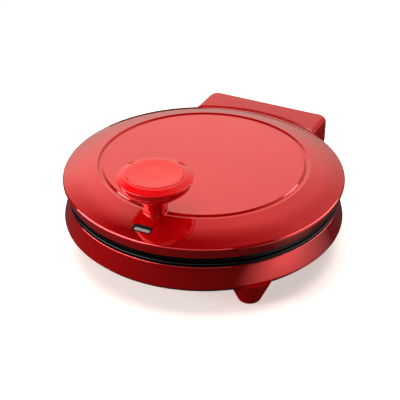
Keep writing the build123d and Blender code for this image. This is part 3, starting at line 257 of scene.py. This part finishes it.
# Moulded phenolic: brown and slightly mottled
phenolic = finish("moulded_phenolic", "5e3f29", "4a301e", 3, (0.35, 0.5), 0.6, 0.01, IOR=1.6)
# Glass-braid sleeving: off-white woven tube
braid = finish("glass_braid_sleeve", "cfc8bb", "b3ab9d", 1.2, (0.6, 0.8), 0.8, 0.08, IOR=1.5)

SLOT_FINISH = {
    "red_gloss": moulded_red,
    "black_cover": cover_black,
    "black_plastic": trim_black,
    "plate_coating": coating,
    "steel": zinc,
    "arm_steel": strip,
    "bush_brass": brass,
    "element_steel": sheath,
    "reflector_aluminium": sheet,
    "pad_rubber": rubber,
    "lens_clear": lens_plastic,
    "lamp_glass": lamp_glass,
    "thermostat_body": phenolic,
    "wire_insulation": braid,
}


# Small tools for shapes
SHARP_ANGLE = 32
LONG_RUN = 3.0
RUN_INSET = 0.6


def link(name, mesh):
    """A piece from a mesh, in the scene."""
    made = bpy.data.objects.new(name, mesh)
    scene.collection.objects.link(made)
    return made


def piece_from(shape, name):
    """A piece from a shape in millimetres, with its faces outwards."""
    bmesh.ops.recalc_face_normals(shape, faces=shape.faces)
    shape.transform(Matrix.Scale(MM, 4))
    mesh = bpy.data.meshes.new(name)
    shape.to_mesh(mesh)
    shape.free()
    return link(name, mesh)


def smooth(piece):
    """Soft shading that keeps real edges sharp."""
    piece.data.shade_smooth()
    piece.data.set_sharp_from_angle(angle=math.radians(SHARP_ANGLE))
    return piece


def settle(piece):
    """Turns a piece's modifiers into a plain mesh."""
    graph = bpy.context.evaluated_depsgraph_get()
    mesh = bpy.data.meshes.new_from_object(piece.evaluated_get(graph))
    piece.modifiers.clear()
    piece.data = mesh
    return piece


def combine(piece, other, how="DIFFERENCE"):
    """Cuts one piece with another, or joins them, and uses up the other."""
    change = piece.modifiers.new("combine", "BOOLEAN")
    change.operation = how
    change.solver = "EXACT"
    change.object = other
    settle(piece)
    bpy.data.objects.remove(other)
    return piece


def at(x, y, z):
    """A place measured from the plates' axis and the table, in millimetres."""
    return Matrix.Translation((x, PLATE_Y + y, z))


def rounded(corners, step=6.0, longest=2.0):
    """A closed path with rounded corners, from corners of across, up and rounding radius.

    An arc has a point at least every step of degrees and every longest of millimetres. Long
    straight runs get a point close to each end, so that shading stays flat along them.
    """
    path = []
    count = len(corners)
    for place, (x, y, radius) in enumerate(corners):
        here = Vector((x, y))
        if radius == 0:
            path.append(here)
            continue
        before = (Vector(corners[place - 1][:2]) - here).normalized()
        after = (Vector(corners[(place + 1) % count][:2]) - here).normalized()
        half = before.angle(after) / 2
        centre = here + (before + after).normalized() * radius / math.sin(half)
        start = here + before * radius / math.tan(half) - centre
        end = here + after * radius / math.tan(half) - centre
        sweep = math.atan2(start.x * end.y - start.y * end.x, start.dot(end))
        by_angle = math.ceil(abs(sweep) / math.radians(step))
        by_length = math.ceil(abs(sweep) * radius / longest)
        steps = max(2, by_angle, by_length)
        for turn in range(steps + 1):
            path.append(centre + Matrix.Rotation(sweep * turn / steps, 2) @ start)
    points = []
    for place, here in enumerate(path):
        points.append(here)
        run = path[(place + 1) % len(path)] - here
        if run.length > LONG_RUN:
            inset = run.normalized() * RUN_INSET
            points += [here + inset, here + run - inset]
    return points


def walled(corners, wall):
    """The corners of an open path, moved to its right by a wall."""
    moved = []
    for place, (x, y, radius) in enumerate(corners):
        normals = []
        for first, second in ((place - 1, place), (place, place + 1)):
            if first >= 0 and second < len(corners):
                run = Vector(corners[second][:2]) - Vector(corners[first][:2])
                normals.append(Vector((run.y, -run.x)).normalized())
        before, after = normals[0], normals[-1]
        share = wall / (1 + before.dot(after))
        turns_left = before.x * after.y > before.y * after.x
        changed = radius + wall if turns_left else max(radius - wall, 0)
        across = x + share * (before.x + after.x)
        up = y + share * (before.y + after.y)
        moved.append((across, up, changed if radius else 0))
    return moved


def lathe(name, section, centre=(0, PLATE_Y), turns=384):
    """A piece of revolution from a closed section of radius and height, in millimetres."""
    shape = bmesh.new()
    rings = []
    for point in section:
        if point.x < 1e-4:
            rings.append([shape.verts.new((*centre, point.y))])
            continue
        ring = []
        for turn in range(turns):
            angle = 2 * math.pi * turn / turns
            x = centre[0] + point.x * math.cos(angle)
            y = centre[1] + point.x * math.sin(angle)
            ring.append(shape.verts.new((x, y, point.y)))
        rings.append(ring)
    for place, ring in enumerate(rings):
        after = rings[(place + 1) % len(rings)]
        if len(ring) == 1 and len(after) == 1:
            continue
        for here in range(turns):
            there = (here + 1) % turns
            if len(ring) == 1:
                shape.faces.new((ring[0], after[here], after[there]))
            elif len(after) == 1:
                shape.faces.new((ring[here], after[0], ring[there]))
            else:
                shape.faces.new((ring[here], after[here], after[there], ring[there]))
    return piece_from(shape, name)


def close_stack(shape, rings):
    """Joins rings of points one above the other, and closes both ends."""
    for below, above in zip(rings, rings[1:]):
        for place in range(len(below)):
            after = (place + 1) % len(below)
            shape.faces.new((below[place], below[after], above[after], above[place]))
    shape.faces.new(rings[0][::-1])
    shape.faces.new(rings[-1])


def prism(name, outline, placed, low, high, flare=None):
    """A prism from an outline, along the third axis of its place, in millimetres.

    A flare of height and two growths widens the top of the prism outwards.
    """
    shape = bmesh.new()
    levels = [(low, 1.0, 1.0), (high, 1.0, 1.0)]
    if flare:
        start, wider, taller = flare
        levels = [(low, 1.0, 1.0), (start, 1.0, 1.0), (high, wider, taller)]
    rings = []
    for height, wide, tall in levels:
        places = [placed @ Vector((point.x * wide, point.y * tall, height)) for point in outline]
        rings.append([shape.verts.new(place) for place in places])
    close_stack(shape, rings)
    return piece_from(shape, name)


def oblong(width, height, radius, step=10.0):
    """A rectangle with rounded corners, centred, in millimetres."""
    half_x, half_y = width / 2, height / 2
    corners = [
        (half_x, -half_y, radius),
        (half_x, half_y, radius),
        (-half_x, half_y, radius),
        (-half_x, -half_y, radius),
    ]
    return rounded(corners, step=step)


def ring_of_copies():
    """Copies of a shape set evenly on a level circle, each turned to face outwards."""
    tree = bpy.data.node_groups.new("ring_of_copies", "GeometryNodeTree")
    for name, kind in (
        ("Geometry", "NodeSocketGeometry"),
        ("Shape", "NodeSocketObject"),
        ("Count", "NodeSocketInt"),
        ("Radius", "NodeSocketFloat"),
        ("Centre", "NodeSocketVector"),
        ("Finish", "NodeSocketMaterial"),
    ):
        tree.interface.new_socket(name, in_out="INPUT", socket_type=kind)
    tree.interface.new_socket("Geometry", in_out="OUTPUT", socket_type="NodeSocketGeometry")
    given = add(tree, "NodeGroupInput").outputs
    sizes = {"Vertices": given["Count"], "Radius": given["Radius"]}
    circle = add(tree, "GeometryNodeMeshCircle", sizes)
    moved = {"Geometry": circle, "Translation": given["Centre"]}
    points = add(tree, "GeometryNodeTransform", moved)
    index = add(tree, "GeometryNodeInputIndex")
    part = add(tree, "ShaderNodeMath", {0: index, 1: given["Count"]}, operation="DIVIDE")
    angle = add(tree, "ShaderNodeMath", {0: part, 1: 2 * math.pi}, operation="MULTIPLY")
    turned = add(tree, "ShaderNodeCombineXYZ", {"Z": angle})
    shape = add(tree, "GeometryNodeObjectInfo", {"Object": given["Shape"]}).outputs["Geometry"]
    each = {"Points": points, "Instance": shape, "Rotation": turned}
    copies = add(tree, "GeometryNodeInstanceOnPoints", each)
    real = add(tree, "GeometryNodeRealizeInstances", {"Geometry": copies})
    dressed = add(tree, "GeometryNodeSetMaterial", {"Geometry": real, "Material": given["Finish"]})
    add(tree, "NodeGroupOutput", {"Geometry": dressed})
    return tree


RING = ring_of_copies()


def repeat(name, shape, count, radius, height, material):
    """A ring of copies of a shape about the plates' axis, as a plain mesh."""
    made = link(name, bpy.data.meshes.new(name))
    change = made.modifiers.new("ring", "NODES")
    change.node_group = RING
    values = {
        "Shape": shape,
        "Count": count,
        "Radius": radius * MM,
        "Centre": (0.0, PLATE_Y * MM, height * MM),
        "Finish": material,
    }
    for item in RING.interface.items_tree:
        if item.in_out == "INPUT" and item.name in values:
            change[item.identifier] = values[item.name]
    return settle(made)


def dress(piece, body, slot_name, material, *nodes):
    """Gives a finished piece its material, its body and the nodes that it stands for."""
    piece.data.materials.clear()
    piece.data.materials.append(material)
    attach(piece, body)
    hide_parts(*nodes)
    return piece


def fine_copy(node, slot_name, material):
    """The CAD shape with its points merged and its shading softened, in place of the node."""
    mesh = frame["nodes"][node].data.copy()
    shape = bmesh.new()
    shape.from_mesh(mesh)
    bmesh.ops.remove_doubles(shape, verts=shape.verts, dist=1e-6)
    shape.to_mesh(mesh)
    shape.free()
    piece = smooth(link(node + "_shape", mesh))
    even = piece.modifiers.new("even", "WEIGHTED_NORMAL")
    even.keep_sharp = True
    even.weight = 100
    settle(piece)
    body = frame["nodes"][node]["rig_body"]
    return dress(piece, body, slot_name, material, node)


# Lid: one pressed dome with a ring groove, a seat for the knob and a slot for the lamps
GROOVE_INNER = 119.0
GROOVE_OUTER = 126.5
GROOVE_DEPTH = 2.9
BAND_BREAK = (149.499, 96.6)
BAND_ROUND_SHARE = 0.49
LID_CORNER = (FLARE_RADIUS, 88.5)
LID_FOOT = (164.0, LID_EDGE)
LID_FOOT_ROUND = 0.8
SEAT_RADIUS = 14.5
SEAT_DEPTH = 7.0
WINDOW_HOLE = (22.8, 10.0, 1.4)
WINDOW_FLARE = (-0.4, 1.06, 1.14)
WINDOW_DROP = 3.0
LID_REAR = 170.0
ARM_NOTCH = (11.2, 20.0, 0)
ARM_NOTCH_HEIGHT = 82.6
LEAD_SLOT = (26.4, 24.0, 0)
LEAD_SLOT_HEIGHT = 83.6

upper_slope = math.atan2(LID_TOP - BAND_BREAK[1], BAND_BREAK[0] - GROOVE_OUTER)
lower_slope = math.atan2(BAND_BREAK[1] - LID_CORNER[1], LID_CORNER[0] - BAND_BREAK[0])
lower_run = math.dist(BAND_BREAK, LID_CORNER)
half_break = (lower_slope - upper_slope) / 2
band_round = BAND_ROUND_SHARE * lower_run / math.tan(half_break)
lid_outside = [
    (0, LID_TOP, 0),
    (GROOVE_INNER, LID_TOP, 1.5),
    ((GROOVE_INNER + GROOVE_OUTER) / 2, LID_TOP - GROOVE_DEPTH, 3.5),
    (GROOVE_OUTER, LID_TOP, 1.5),
    (*BAND_BREAK, band_round),
    (*LID_CORNER, 3.0),
    (*LID_FOOT, LID_FOOT_ROUND),
]
lid_inside = walled(lid_outside[:-1] + [(*LID_FOOT, 0)], WALL)[::-1]
lid_inside[0] = (*lid_inside[0][:2], LID_FOOT_ROUND)
lid = lathe("lid_dome", rounded(lid_outside + lid_inside))

knob_seat = [
    (0, SEAT_TOP - SEAT_DEPTH, 0),
    (SEAT_RADIUS, SEAT_TOP - SEAT_DEPTH, 0.5),
    (SEAT_RADIUS, SEAT_TOP, 0.5),
    (0, SEAT_TOP, 0),
]
combine(lid, lathe("knob_seat", rounded(knob_seat, step=15), (0, KNOB_Y), 128), "UNION")

# The window's hole lies square to the rounded break of the lid, in front of the knob
window_sink = band_round * (1 / math.cos(half_break) - 1) + WINDOW_DROP**2 / (2 * band_round)
window_place = (
    at(0, -BAND_BREAK[0], BAND_BREAK[1])
    @ Matrix.Rotation((upper_slope + lower_slope) / 2, 4, "X")
    @ Matrix.Translation((0, -WINDOW_DROP, -window_sink))
)
combine(lid, prism("window_cut", oblong(*WINDOW_HOLE), window_place, -8, 1.0, WINDOW_FLARE))
for side in (-ARM_SIDE, ARM_SIDE):
    place = at(side, LID_REAR, ARM_NOTCH_HEIGHT)
    combine(lid, prism("notch", oblong(*ARM_NOTCH), place, -2.6, 2.6))
place = at(0, LID_REAR, LEAD_SLOT_HEIGHT)
combine(lid, prism("lead_slot", oblong(*LEAD_SLOT), place, -3.2, 3.2))
dress(smooth(lid), "lid", "red_gloss", lacquer, "lid_shell")

# Base: a flared and tucked wall, with the stepped lip that holds the bottom cover
COVER_GAP = 0.2
LIP_WIDTH = 6.0
LEAD_WINDOW = (90.0, 30.0, 0)
LEAD_WINDOW_REAR = 165.0
LEAD_WINDOW_HEIGHT = 45.8

cover_opening = COVER_RADIUS + COVER_GAP
lip_radius = cover_opening - LIP_WIDTH
lip_base = BASE_FLOOR + COVER_THICK
base_path = [
    (BASE_TOP_RADIUS, BASE_TOP, 1.0),
    (FLARE_RADIUS, BASE_TOP - BASE_BEND_DROP, 3.0),
    (BASE_FLOOR_RADIUS, BASE_FLOOR, 5.0),
]
base_inner = walled(base_path + [(cover_opening + WALL, BASE_FLOOR, 0)], WALL)
base_section = base_path + [
    (cover_opening, BASE_FLOOR, 0.4),
    (cover_opening, lip_base, 0),
    (lip_radius, lip_base, 0),
    (lip_radius, lip_base + WALL, 0.4),
    (cover_opening + WALL, lip_base + WALL, 0),
]
base_section += base_inner[:0:-1] + [(BASE_TOP_RADIUS - WALL, BASE_TOP, 0)]
base = lathe("base_wall", rounded(base_section))
place = at(0, LEAD_WINDOW_REAR, LEAD_WINDOW_HEIGHT)
combine(base, prism("lead_window", oblong(*LEAD_WINDOW), place, -8, 8))
dress(smooth(base), "base", "red_gloss", lacquer, "base_shell")

# Plates: shallow coated dishes, with countersunk screws round their rims
DISH_DRAFT = 5.5
PLATE_THICK = 3.0
LOWER_DEPTH = 9.2
LOWER_RIM = 162.2
UPPER_DEPTH = 9.4
UPPER_RIM = 160.6
PLATE_SCREWS = 6
SCREW_RING_SHARE = 0.55
HEAD_SINK = ((0, 0.4), (3.4, 0.4), (3.0, 0.0), (1.8, -1.4), (1.8, -14), (0, -14))


def back_radius(drop, depth):
    """Outer radius of a dish's sloping wall at a distance from its face."""
    draft = DISH_DRAFT / depth
    return COOK_RADIUS - draft * drop + PLATE_THICK * math.sqrt(1 + draft**2)


def cooking_plate(name, node, body, face, away, depth, rim_radius, rim_thick, back_round):
    """A dish that lies below its face where away is -1, and above it where away is 1."""
    floor = face + away * depth
    back = floor + away * PLATE_THICK
    rim_back = face + away * rim_thick
    section = [
        (0, floor, 0),
        (COOK_RADIUS - DISH_DRAFT, floor, 5.0),
        (COOK_RADIUS, face, 1.5),
        (rim_radius, face, 1.2),
        (rim_radius, rim_back, 0),
        (back_radius(rim_thick, depth), rim_back, 0),
        (back_radius(depth + PLATE_THICK, depth), back, back_round),
        (0, back, 0),
    ]
    plate = lathe(name, rounded(section))
    sink = lathe("head_sink", [Vector((x, -away * up)) for x, up in HEAD_SINK], (0, 0), 32)
    screw_ring = COOK_RADIUS + SCREW_RING_SHARE * (rim_radius - COOK_RADIUS)
    combine(plate, repeat("sinks", sink, PLATE_SCREWS, screw_ring, face, coating))
    bpy.data.objects.remove(sink)
    dress(smooth(plate), body, "plate_coating", coating, node)


cooking_plate(
    "lower_cooking_plate", "lower_plate", "base", PARTING, -1, LOWER_DEPTH, LOWER_RIM,
    PARTING - BASE_TOP, 5.0,
)
cooking_plate(
    "upper_cooking_plate", "upper_plate", "lid", UPPER_RIM_BOTTOM, 1, UPPER_DEPTH, UPPER_RIM,
    UPPER_RIM_TOP - UPPER_RIM_BOTTOM, 1.5,
)

# Knob: a hollow mushroom head on a plain stem, closed by a dished cap
STEM_RADIUS = 13.2
SPIGOT_RADIUS = 8.0
SPIGOT_HEIGHT = 5.0
HEAD_RADIUS = 42.3
CAP_RADIUS = 31.6
CAP_THICK = 3.0
CAP_DISH = 0.8
HOLLOW_RADIUS = 26.0
HOLLOW_DEPTH = 15.0
HEAD_BORE = 2.5
STEM_BORE = 2.7
KNOB_GAP = 0.2

socket_radius = SPIGOT_RADIUS + KNOB_GAP
socket_top = HEAD_BOTTOM + SPIGOT_HEIGHT + KNOB_GAP
recess_radius = CAP_RADIUS + KNOB_GAP
knob_section = [
    (socket_radius, HEAD_BOTTOM, 0),
    (17.0, HEAD_BOTTOM, 1.0),
    (31.5, HEAD_BOTTOM + 6.0, 10.0),
    (39.6, HEAD_BOTTOM + 13.8, 10.0),
    (HEAD_RADIUS, HEAD_BOTTOM + 22.4, 1.0),
    (35.0, HEAD_TOP - 0.7, 3.0),
    (recess_radius, HEAD_TOP, 0.3),
    (recess_radius, CAP_TOP - CAP_THICK, 0),
    (HOLLOW_RADIUS, CAP_TOP - CAP_THICK, 0),
    (HOLLOW_RADIUS, CAP_TOP - HOLLOW_DEPTH, 1.0),
    (HEAD_BORE, CAP_TOP - HOLLOW_DEPTH, 0),
    (HEAD_BORE, socket_top, 0),
    (socket_radius, socket_top, 0),
]
knob = lathe("knob_mushroom", rounded(knob_section), (0, KNOB_Y), 256)
dress(smooth(knob), "lid", "red_gloss", knob_red, "knob_head")
cap_section = [
    (0, CAP_TOP - CAP_THICK, 0),
    (CAP_RADIUS, CAP_TOP - CAP_THICK, 0),
    (CAP_RADIUS, CAP_TOP, 0.5),
    (CAP_RADIUS - 3.0, CAP_TOP, 3.0),
    (CAP_RADIUS / 2, CAP_TOP - CAP_DISH, 10.0),
    (0, CAP_TOP - CAP_DISH, 0),
]
cap = lathe("knob_top_cap", rounded(cap_section, step=4), (0, KNOB_Y), 256)
dress(smooth(cap), "lid", "red_gloss", knob_red, "knob_cap")
stem_section = [
    (STEM_BORE, SEAT_TOP, 0),
    (STEM_RADIUS, SEAT_TOP, 0.9),
    (STEM_RADIUS, HEAD_BOTTOM, 0),
    (SPIGOT_RADIUS, HEAD_BOTTOM, 0),
    (SPIGOT_RADIUS, HEAD_BOTTOM + SPIGOT_HEIGHT, 0.4),
    (STEM_BORE, HEAD_BOTTOM + SPIGOT_HEIGHT, 0),
]
stem = lathe("knob_post", rounded(stem_section, step=10), (0, KNOB_Y), 192)
dress(smooth(stem), "lid", "red_gloss", stem_red, "knob_stem")

# Hinge hood: a rounded moulded cover, open below, cut to the lid in front
HOOD_CORNER_ROUND = 13.0
HOOD_EDGE_ROUND = 6.7
HOOD_REAR_BOTTOM = 68.0
PAD = (10.0, 12.0, 0)
PAD_REAR = 168.0
PAD_BOTTOM = 84.6
EDGE_STEPS = 14
PAST = 5.0


def rounded_block(name, half_width, front, rear, bottom, top, corner, edge):
    """A block with rounded rear corners and a rounded top edge, in millimetres."""
    levels = [(bottom, 0.0), (top - edge - RUN_INSET, 0.0)]
    for turn in range(EDGE_STEPS + 1):
        angle = math.radians(90 * turn / EDGE_STEPS)
        levels.append((top - edge + edge * math.sin(angle), edge * (1 - math.cos(angle))))
    shape = bmesh.new()
    rings = []
    for height, inset in levels:
        wide, far, bend = half_width - inset, rear - inset, max(corner - inset, 0.3)
        corners = [(wide, front, 0), (wide, far, bend), (-wide, far, bend), (-wide, front, 0)]
        rings.append([shape.verts.new((p.x, PLATE_Y + p.y, height)) for p in rounded(corners)])
    close_stack(shape, rings)
    return piece_from(shape, name)


hood = rounded_block(
    "hinge_cover", HOOD_HALF_WIDTH, HOOD_FRONT, BLOCK_REACH, HOOD_BOTTOM, HOOD_TOP,
    HOOD_CORNER_ROUND, HOOD_EDGE_ROUND,
)
hollow = rounded_block(
    "hollow", HOOD_HALF_WIDTH - WALL, HOOD_FRONT - PAST, BLOCK_REACH - WALL, HOOD_BOTTOM - 6.0,
    HOOD_TOP - WALL, HOOD_CORNER_ROUND - WALL, HOOD_EDGE_ROUND - WALL,
)
combine(hood, hollow)
below_rear = [
    (HOOD_FRONT - PAST, 40.0),
    (BLOCK_REACH + PAST, 40.0),
    (BLOCK_REACH + PAST, HOOD_REAR_BOTTOM),
    (192.0, HOOD_REAR_BOTTOM),
    (192.0, 64.0),
    (190.0, 58.4),
    (184.0, HOOD_BOTTOM),
    (HOOD_FRONT - PAST, HOOD_BOTTOM),
]
from_the_side = Matrix(((0, 0, 1, 0), (1, 0, 0, PLATE_Y), (0, 1, 0, 0), (0, 0, 0, 1)))
combine(hood, prism("below_rear", [Vector(p) for p in below_rear], from_the_side, -100, 100))
clear_radius = LID_RADIUS + 0.5
lid_clearance = [
    (0, 20.0, 0),
    (clear_radius, 20.0, 0),
    (clear_radius, HOOD_TOP - 1.4, 0.8),
    (clear_radius + 2.8, HOOD_TOP + 1.4, 0),
    (0, HOOD_TOP + 1.4, 0),
]
combine(hood, lathe("lid_clearance", rounded(lid_clearance)))
for side in (ARM_SIDE, -ARM_SIDE):
    place = at(side, PAD_REAR, 0)
    pad = prism("pad", oblong(*PAD), place, PAD_BOTTOM, HOOD_TOP - WALL / 2)
    combine(hood, pad, "UNION")
dress(smooth(hood), "lid", "red_gloss", moulded_red, "hinge_hood")

# Bottom cover: a disc with two rings of slots
SLOT_WIDTH = 4
SLOT_ROUND = 1.99
SLOT_RINGS = (("outer_slots", 24, 88, 30), ("inner_slots", 12, 50, 24))

cover_section = [
    (0, BASE_FLOOR, 0),
    (COVER_RADIUS, BASE_FLOOR, 0.4),
    (COVER_RADIUS, BASE_FLOOR + COVER_THICK, 0),
    (0, BASE_FLOOR + COVER_THICK, 0),
]
cover = lathe("vented_cover", rounded(cover_section))
for name, count, radius, length in SLOT_RINGS:
    slot = prism("slot", oblong(length, SLOT_WIDTH, SLOT_ROUND), Matrix(), -1, 5)
    combine(cover, repeat(name, slot, count, radius, BASE_FLOOR, cover_black))
    bpy.data.objects.remove(slot)
dress(smooth(cover), "base", "black_cover", cover_black, "bottom_cover")

# Other shapes that show keep their CAD form, with softened shading
FINE = {
    "hinge_tower": "red_gloss",
    "foot_front_left": "red_gloss",
    "foot_front_right": "red_gloss",
    "foot_rear_left": "red_gloss",
    "foot_rear_right": "red_gloss",
    "foot_pad_front_left": "pad_rubber",
    "foot_pad_front_right": "pad_rubber",
    "foot_pad_rear_left": "pad_rubber",
    "foot_pad_rear_right": "pad_rubber",
    "window_bezel": "black_plastic",
    "window_lens": "lens_clear",
    "window_lamps": "lamp_glass",
    "cord_gland": "black_plastic",
    "hinge_arm_left": "arm_steel",
    "hinge_arm_right": "arm_steel",
    "hinge_bush_left": "bush_brass",
    "hinge_bush_right": "bush_brass",
    "hinge_pin_left": "steel",
    "hinge_pin_right": "steel",
    "hinge_pin_clips": "steel",
    "lower_plate_screws": "steel",
    "upper_plate_screws": "steel",
    "bottom_cover_screws": "steel",
    "base_harness": "wire_insulation",
    "lid_harness": "wire_insulation",
}
BLACKENED = ("lower_plate_screws", "upper_plate_screws")
for node_name, slot_name in FINE.items():
    fine_copy(node_name, slot_name, blackened if node_name in BLACKENED else SLOT_FINISH[slot_name])

# Nodes inside keep their CAD mesh and take the finish of what they are made of
INSIDE = {
    "steel": (
        "tower_screws",
        "foot_screws",
        "lower_reflector_screws",
        "upper_reflector_screws",
        "knob_washer",
        "knob_screw",
        "arm_screws",
        "hood_screws",
        "lower_element_clips",
        "upper_element_clips",
    ),
    "element_steel": ("lower_element", "upper_element"),
    "reflector_aluminium": ("lower_reflector", "upper_reflector"),
    "thermostat_body": ("thermostat",),
    "wire_insulation": ("thermal_fuse", "base_wires", "lid_wires"),
    "black_plastic": ("terminal_block", "lamp_holder", "lid_connector"),
}
for slot_name, node_names in INSIDE.items():
    for node_name in node_names:
        node = frame["nodes"][node_name]
        node.data.materials.clear()
        node.data.materials.append(SLOT_FINISH[slot_name])


# Stage: a sheet of paper, in metres, and its colours as the camera, gloss and matt surfaces see it
PAPER = ((-0.55, -0.55), (1.5, 2.6))
PAPER_SEEN = "fff2ed"
PAPER_LIFT = 0.54
PAPER_MIRRORED = "343434"
PAPER_BOUNCE = "8c8c8c"
# Painted pool of light: the paper glows to the right of the object for gloss rays only, though no lamp
# is there
PAINTED_POOL_PLACE = (0.43, -0.09, 0.0)
PAINTED_POOL_CORE = 0.05
PAINTED_POOL_RADIUS = 0.26
PAINTED_POOL_LEVEL = 1.3

# World: how bright each part of the room looks in a mirror, where 1 is white. Each fade runs along
# an axis of the room, between two places on it and from one level to another
SURROUND_TINT = "fffcf0"
SURROUND = 1.0
ROOM_LEVEL = 0.03
CEILING_LEVEL = 0.52
HORIZON_LEVEL = 0.52
RIGHT_LEVEL = 0.5
AMBIENT = 0.02
FADES = (
    ("Y", 0.15, 0.55, ROOM_LEVEL, SURROUND),
    ("Z", 0.8, 1.0, 1.0, CEILING_LEVEL),
    ("Z", 0.0, 0.42, HORIZON_LEVEL, 1.0),
    ("X", -0.35, 0.15, 1.0, RIGHT_LEVEL),
)

# Lamps: name, azimuth, elevation, distance, width, height, power, and whether gloss mirrors it
LAMP_AIM = (0, PLATE_Y * MM, 0.05)
LAMPS = (
    ("back_soft", 207, 79, 2.0, 2.2, 2.2, 54, False),
    ("left_soft", -50, 12, 1.8, 1.0, 0.5, 30, False),
    ("right_soft", 100, 10, 1.8, 1.2, 0.6, 7, False),
    ("left_card", -49, 27, 1.8, 2.3, 1.3, 50, True),
    ("front_card", 18, 27, 1.8, 1.8, 1.0, 6, True),
    ("right_card", 118, 25, 1.8, 2.0, 1.0, 18, True),
)


def lay_floor():
    """A plain pale sheet of paper that keeps the object's shadow and shows white elsewhere.

    Gloss sees it dark, with a painted pool of light to the right of the object: a glow that only gloss
    sees and that no lamp casts.
    """
    (left, front), (right, rear) = PAPER
    shape = bmesh.new()
    places = ((left, front), (right, front), (right, rear), (left, rear))
    shape.faces.new([shape.verts.new((x, y, 0)) for x, y in places])
    mesh = bpy.data.meshes.new("floor")
    shape.to_mesh(mesh)
    shape.free()
    floor = link("floor", mesh)
    material = bpy.data.materials.new("pale_paper_sweep")
    material.use_nodes = True
    tree = material.node_tree
    paths = add(tree, "ShaderNodeLightPath").outputs
    mirrored = paths["Is Glossy Ray"]
    sight = {0: paths["Is Camera Ray"], 1: paths["Is Transmission Ray"]}
    seen = add(tree, "ShaderNodeMath", sight, operation="MAXIMUM")
    unlit = {"A_Color": colour(PAPER_BOUNCE), "B_Color": colour(PAPER_MIRRORED)}
    unseen = add(tree, "ShaderNodeMix", {"Factor_Float": mirrored, **unlit}, data_type="RGBA")
    shades = {"Factor_Float": seen, "A_Color": unseen, "B_Color": colour(PAPER_SEEN)}
    tint = add(tree, "ShaderNodeMix", shades, data_type="RGBA")
    where = add(tree, "ShaderNodeTexCoord").outputs["Object"]
    # Painted pool of light: a glow on the paper that only gloss rays see, fading out from its place
    away = add(tree, "ShaderNodeVectorMath", {0: where, 1: PAINTED_POOL_PLACE}, operation="DISTANCE")
    edge = {"From Min": PAINTED_POOL_CORE, "From Max": PAINTED_POOL_RADIUS, "To Min": PAINTED_POOL_LEVEL, "To Max": 0.0}
    pool = add(tree, "ShaderNodeMapRange", {"Value": away, **edge})
    painted_glow = add(tree, "ShaderNodeMath", {0: pool, 1: mirrored}, operation="MULTIPLY")
    lift = {0: seen, 1: PAPER_LIFT, 2: painted_glow}
    emission = add(tree, "ShaderNodeMath", lift, operation="MULTIPLY_ADD")
    surface = tree.nodes["Principled BSDF"]
    surface.inputs["Roughness"].default_value = 0.9
    surface.inputs["Specular IOR Level"].default_value = 0.0
    surface.inputs["Emission Color"].default_value = colour(PAPER_SEEN)
    feed(tree, surface, {"Base Color": tint, "Emission Strength": emission})
    mesh.materials.append(material)


def hang_lamp(name, azimuth, elevation, distance, width, height, power, mirrored):
    """A rectangular lamp that faces the object.

    A mirrored lamp is a highlight card: it shows in gloss and casts no light on matt surfaces.
    Any other lamp lights matt surfaces and doesn't show in gloss.
    """
    data = bpy.data.lights.new(name, "AREA")
    data.shape = "RECTANGLE"
    data.size = width
    data.size_y = height
    data.energy = power
    lamp = bpy.data.objects.new(name, data)
    lamp.visible_glossy = mirrored
    lamp.visible_diffuse = not mirrored
    scene.collection.objects.link(lamp)
    lamp.matrix_world = facing(Vector(LAMP_AIM), direction(azimuth, elevation), distance)


def light_world():
    """A white surround behind the object, and a dim room and ceiling, as beside a paper sweep."""
    world = bpy.data.worlds.new("studio")
    scene.world = world
    world.use_nodes = True
    tree = world.node_tree
    where = add(tree, "ShaderNodeTexCoord").outputs["Generated"]
    parts = add(tree, "ShaderNodeSeparateXYZ", {0: where}).outputs
    level = 1.0
    for axis, start, end, before, after in FADES:
        span = {"From Min": start, "From Max": end, "To Min": before, "To Max": after}
        fade = add(tree, "ShaderNodeMapRange", {"Value": parts[axis], **span})
        level = add(tree, "ShaderNodeMath", {0: level, 1: fade}, operation="MULTIPLY")
    paths = add(tree, "ShaderNodeLightPath").outputs
    tint = {"A_Color": (0, 0, 0, 1), "B_Color": colour(SURROUND_TINT)}
    sweep = add(tree, "ShaderNodeMix", {"Factor_Float": level, **tint}, data_type="RGBA")
    dim = {"A_Color": sweep, "B_Color": (AMBIENT, AMBIENT, AMBIENT, 1)}
    matt = {"Factor_Float": paths["Is Diffuse Ray"], **dim}
    unseen = add(tree, "ShaderNodeMix", matt, data_type="RGBA")
    white = {"A_Color": unseen, "B_Color": (1, 1, 1, 1)}
    sight = {"Factor_Float": paths["Is Camera Ray"], **white}
    shown = add(tree, "ShaderNodeMix", sight, data_type="RGBA")
    feed(tree, tree.nodes["Background"], {"Color": shown})


lay_floor()
light_world()
for lamp in LAMPS:
    hang_lamp(*lamp)
